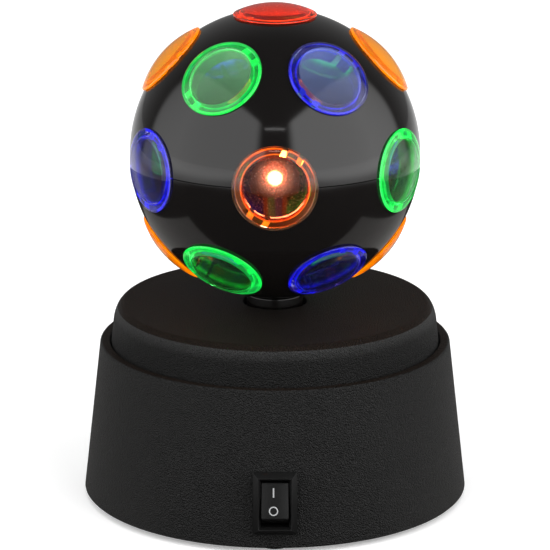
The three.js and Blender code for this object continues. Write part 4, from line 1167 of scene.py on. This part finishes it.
# %% Make the floor
lift_near, lift_far = 0.3, 0.8
near_lamp, far_off = 0.07, 0.5
share_in_gloss = 0.3
deselect_all()
bpy.ops.mesh.primitive_plane_add(size=6)
floor = bpy.context.object
floor.name = "floor"
pale = new_finish("pale_floor", (0.86, 0.86, 0.86), Roughness=0.9, Emission_Color=(1, 1, 1, 1))
vary_colour(pale, 200 * mm, (0.85, 0.85, 0.85), (0.87, 0.87, 0.87))
lift = remap(pale, distance_from(pale, (0, 0, 0)), lift_near, lift_far, near_lamp, far_off)
ray = add_node(pale, "LightPath").outputs
in_gloss = add_math(pale, "MULTIPLY", ray["Is Glossy Ray"], share_in_gloss)
seen = add_math(pale, "MAXIMUM", seen_straight(pale, ray), in_gloss)
into_shader(pale, add_math(pale, "MULTIPLY", lift, seen), "Emission Strength")
coat(floor, pale)
floor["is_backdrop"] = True

# %% Lay the dark card and the grey plate
card_radius = 320 * mm
plate_size = Vector((250, 198)) * mm
plate_front = -38 * mm
deselect_all()
bpy.ops.mesh.primitive_circle_add(
    vertices=96, radius=card_radius, fill_type="NGON", location=(0, 0, 0.4 * mm))
card = bpy.context.object
card.name = "dark_card"
dark = new_finish("dark_card", (0.02, 0.018, 0.016), Roughness=0.9)
vary_colour(dark, 40 * mm, (0.018, 0.016, 0.014), (0.022, 0.02, 0.018))
bpy.ops.mesh.primitive_plane_add(
    size=1, location=(0, plate_front + plate_size.y / 2, 0.8 * mm))
plate = bpy.context.object
plate.name = "grey_plate"
plate.scale = (plate_size.x, plate_size.y, 1)
grey = new_finish("grey_plate", (0.36, 0.35, 0.34), Roughness=0.9)
vary_colour(grey, 40 * mm, (0.34, 0.33, 0.32), (0.38, 0.37, 0.36))
for piece, finish in ((card, dark), (plate, grey)):
    coat(piece, finish)
    for kind in ("camera", "diffuse", "transmission", "shadow"):
        setattr(piece, "visible_" + kind, False)
    piece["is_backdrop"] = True


# %% Hang the lights
def hang_light(name, place, aim, width, height, radiance):
    """A rectangle of light of the given radiance, unseen by the camera."""
    bpy.ops.object.light_add(type="AREA", location=place)
    hung = bpy.context.object
    hung.name = name
    aim_at(hung, aim)
    hung.visible_camera = False
    hung.data.shape = "RECTANGLE"
    hung.data.size = width
    hung.data.size_y = height
    hung.data.energy = radiance * pi * width * height
    return hung


def soften(light, edge_share, outward):
    """Fades the light out at its edges, and dims it towards the side that outward names."""
    light.use_nodes = True
    across = split_axes(light, add_node(light, "NewGeometry").outputs["Parametric"])
    beside, above = (add_math(light, "SUBTRACT", across[axis], 0.5) for axis in "XY")
    level = remap(light, add_math(light, "MULTIPLY", beside, outward), 1, 0.3, 0.1, 0.5)
    for offset in (beside, above):
        fade = remap(light, add_math(light, "ABSOLUTE", offset), 0, 1, 0.5, 0.5 - edge_share,
                     "SMOOTHSTEP")
        level = add_math(light, "MULTIPLY", level, fade)
    connect(light, level, light.node_tree.nodes["Emission"].inputs["Strength"])


box_distance = 0.33
box_angle = radians(64)
box_z = 0.25
for side, name, radiance in ((-1, "soft_box_left", 1.75), (1, "soft_box_right", 2.3)):
    place = (side * box_distance * sin(box_angle), -box_distance * cos(box_angle), box_z)
    soft_box = hang_light(name, place, (0, 0, box_z), 0.92, 0.5, radiance)
    soften(soft_box.data, 0.12, side)
bar_distance = 0.38
bar_z = ball_centre.z + bar_distance * tan(radians(31.8))
hang_light("bar_light", (0, -bar_distance, bar_z), ball_centre, 0.115, 0.008, 4)
above = hang_light("soft_box_above", (0, 0.1, 1.1), (0, 0, 0.1), 0.9, 0.9, 2)
above.visible_glossy = False

# %% [markdown]
# The world is white where the camera or a ray through a cap looks past the floor's far edge. In
# the gloss the backdrop behind the lamp is dimmer and the room in front is darker still, as in a
# real studio. Diffuse rays get a low even light.

# %% Make the world
room_gloss, backdrop_gloss = 0.1, 0.23
even_light = 0.25
world = bpy.data.worlds.new("studio")
bpy.context.scene.world = world
world.use_nodes = True
background = world.node_tree.nodes["Background"].inputs
background["Color"].default_value = (1, 1, 1, 1)
direction = split_axes(world, add_node(world, "TexCoord").outputs["Generated"])
behind = remap(world, direction["Y"], room_gloss, backdrop_gloss, 0.35, 0.9, "SMOOTHSTEP")
ray = add_node(world, "LightPath").outputs
in_gloss = add_math(world, "MULTIPLY", ray["Is Glossy Ray"], behind)
even = add_math(world, "MULTIPLY", ray["Is Diffuse Ray"], even_light)
level = add_math(world, "MAXIMUM", seen_straight(world, ray), in_gloss)
connect(world, add_math(world, "MAXIMUM", level, even), background["Strength"])
bpy.context.scene.view_settings.view_transform = "Standard"

# %% [markdown]
# ## Sizes at the end
# The dressed lamp has to fill the same box as the solids.

# %% Write the sizes and finish
shown_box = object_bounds()
for title, box in (("solids' box", cad_box), ("dressed box", shown_box)):
    print(title, [[round(v / mm, 2) for v in corner] for corner in box])
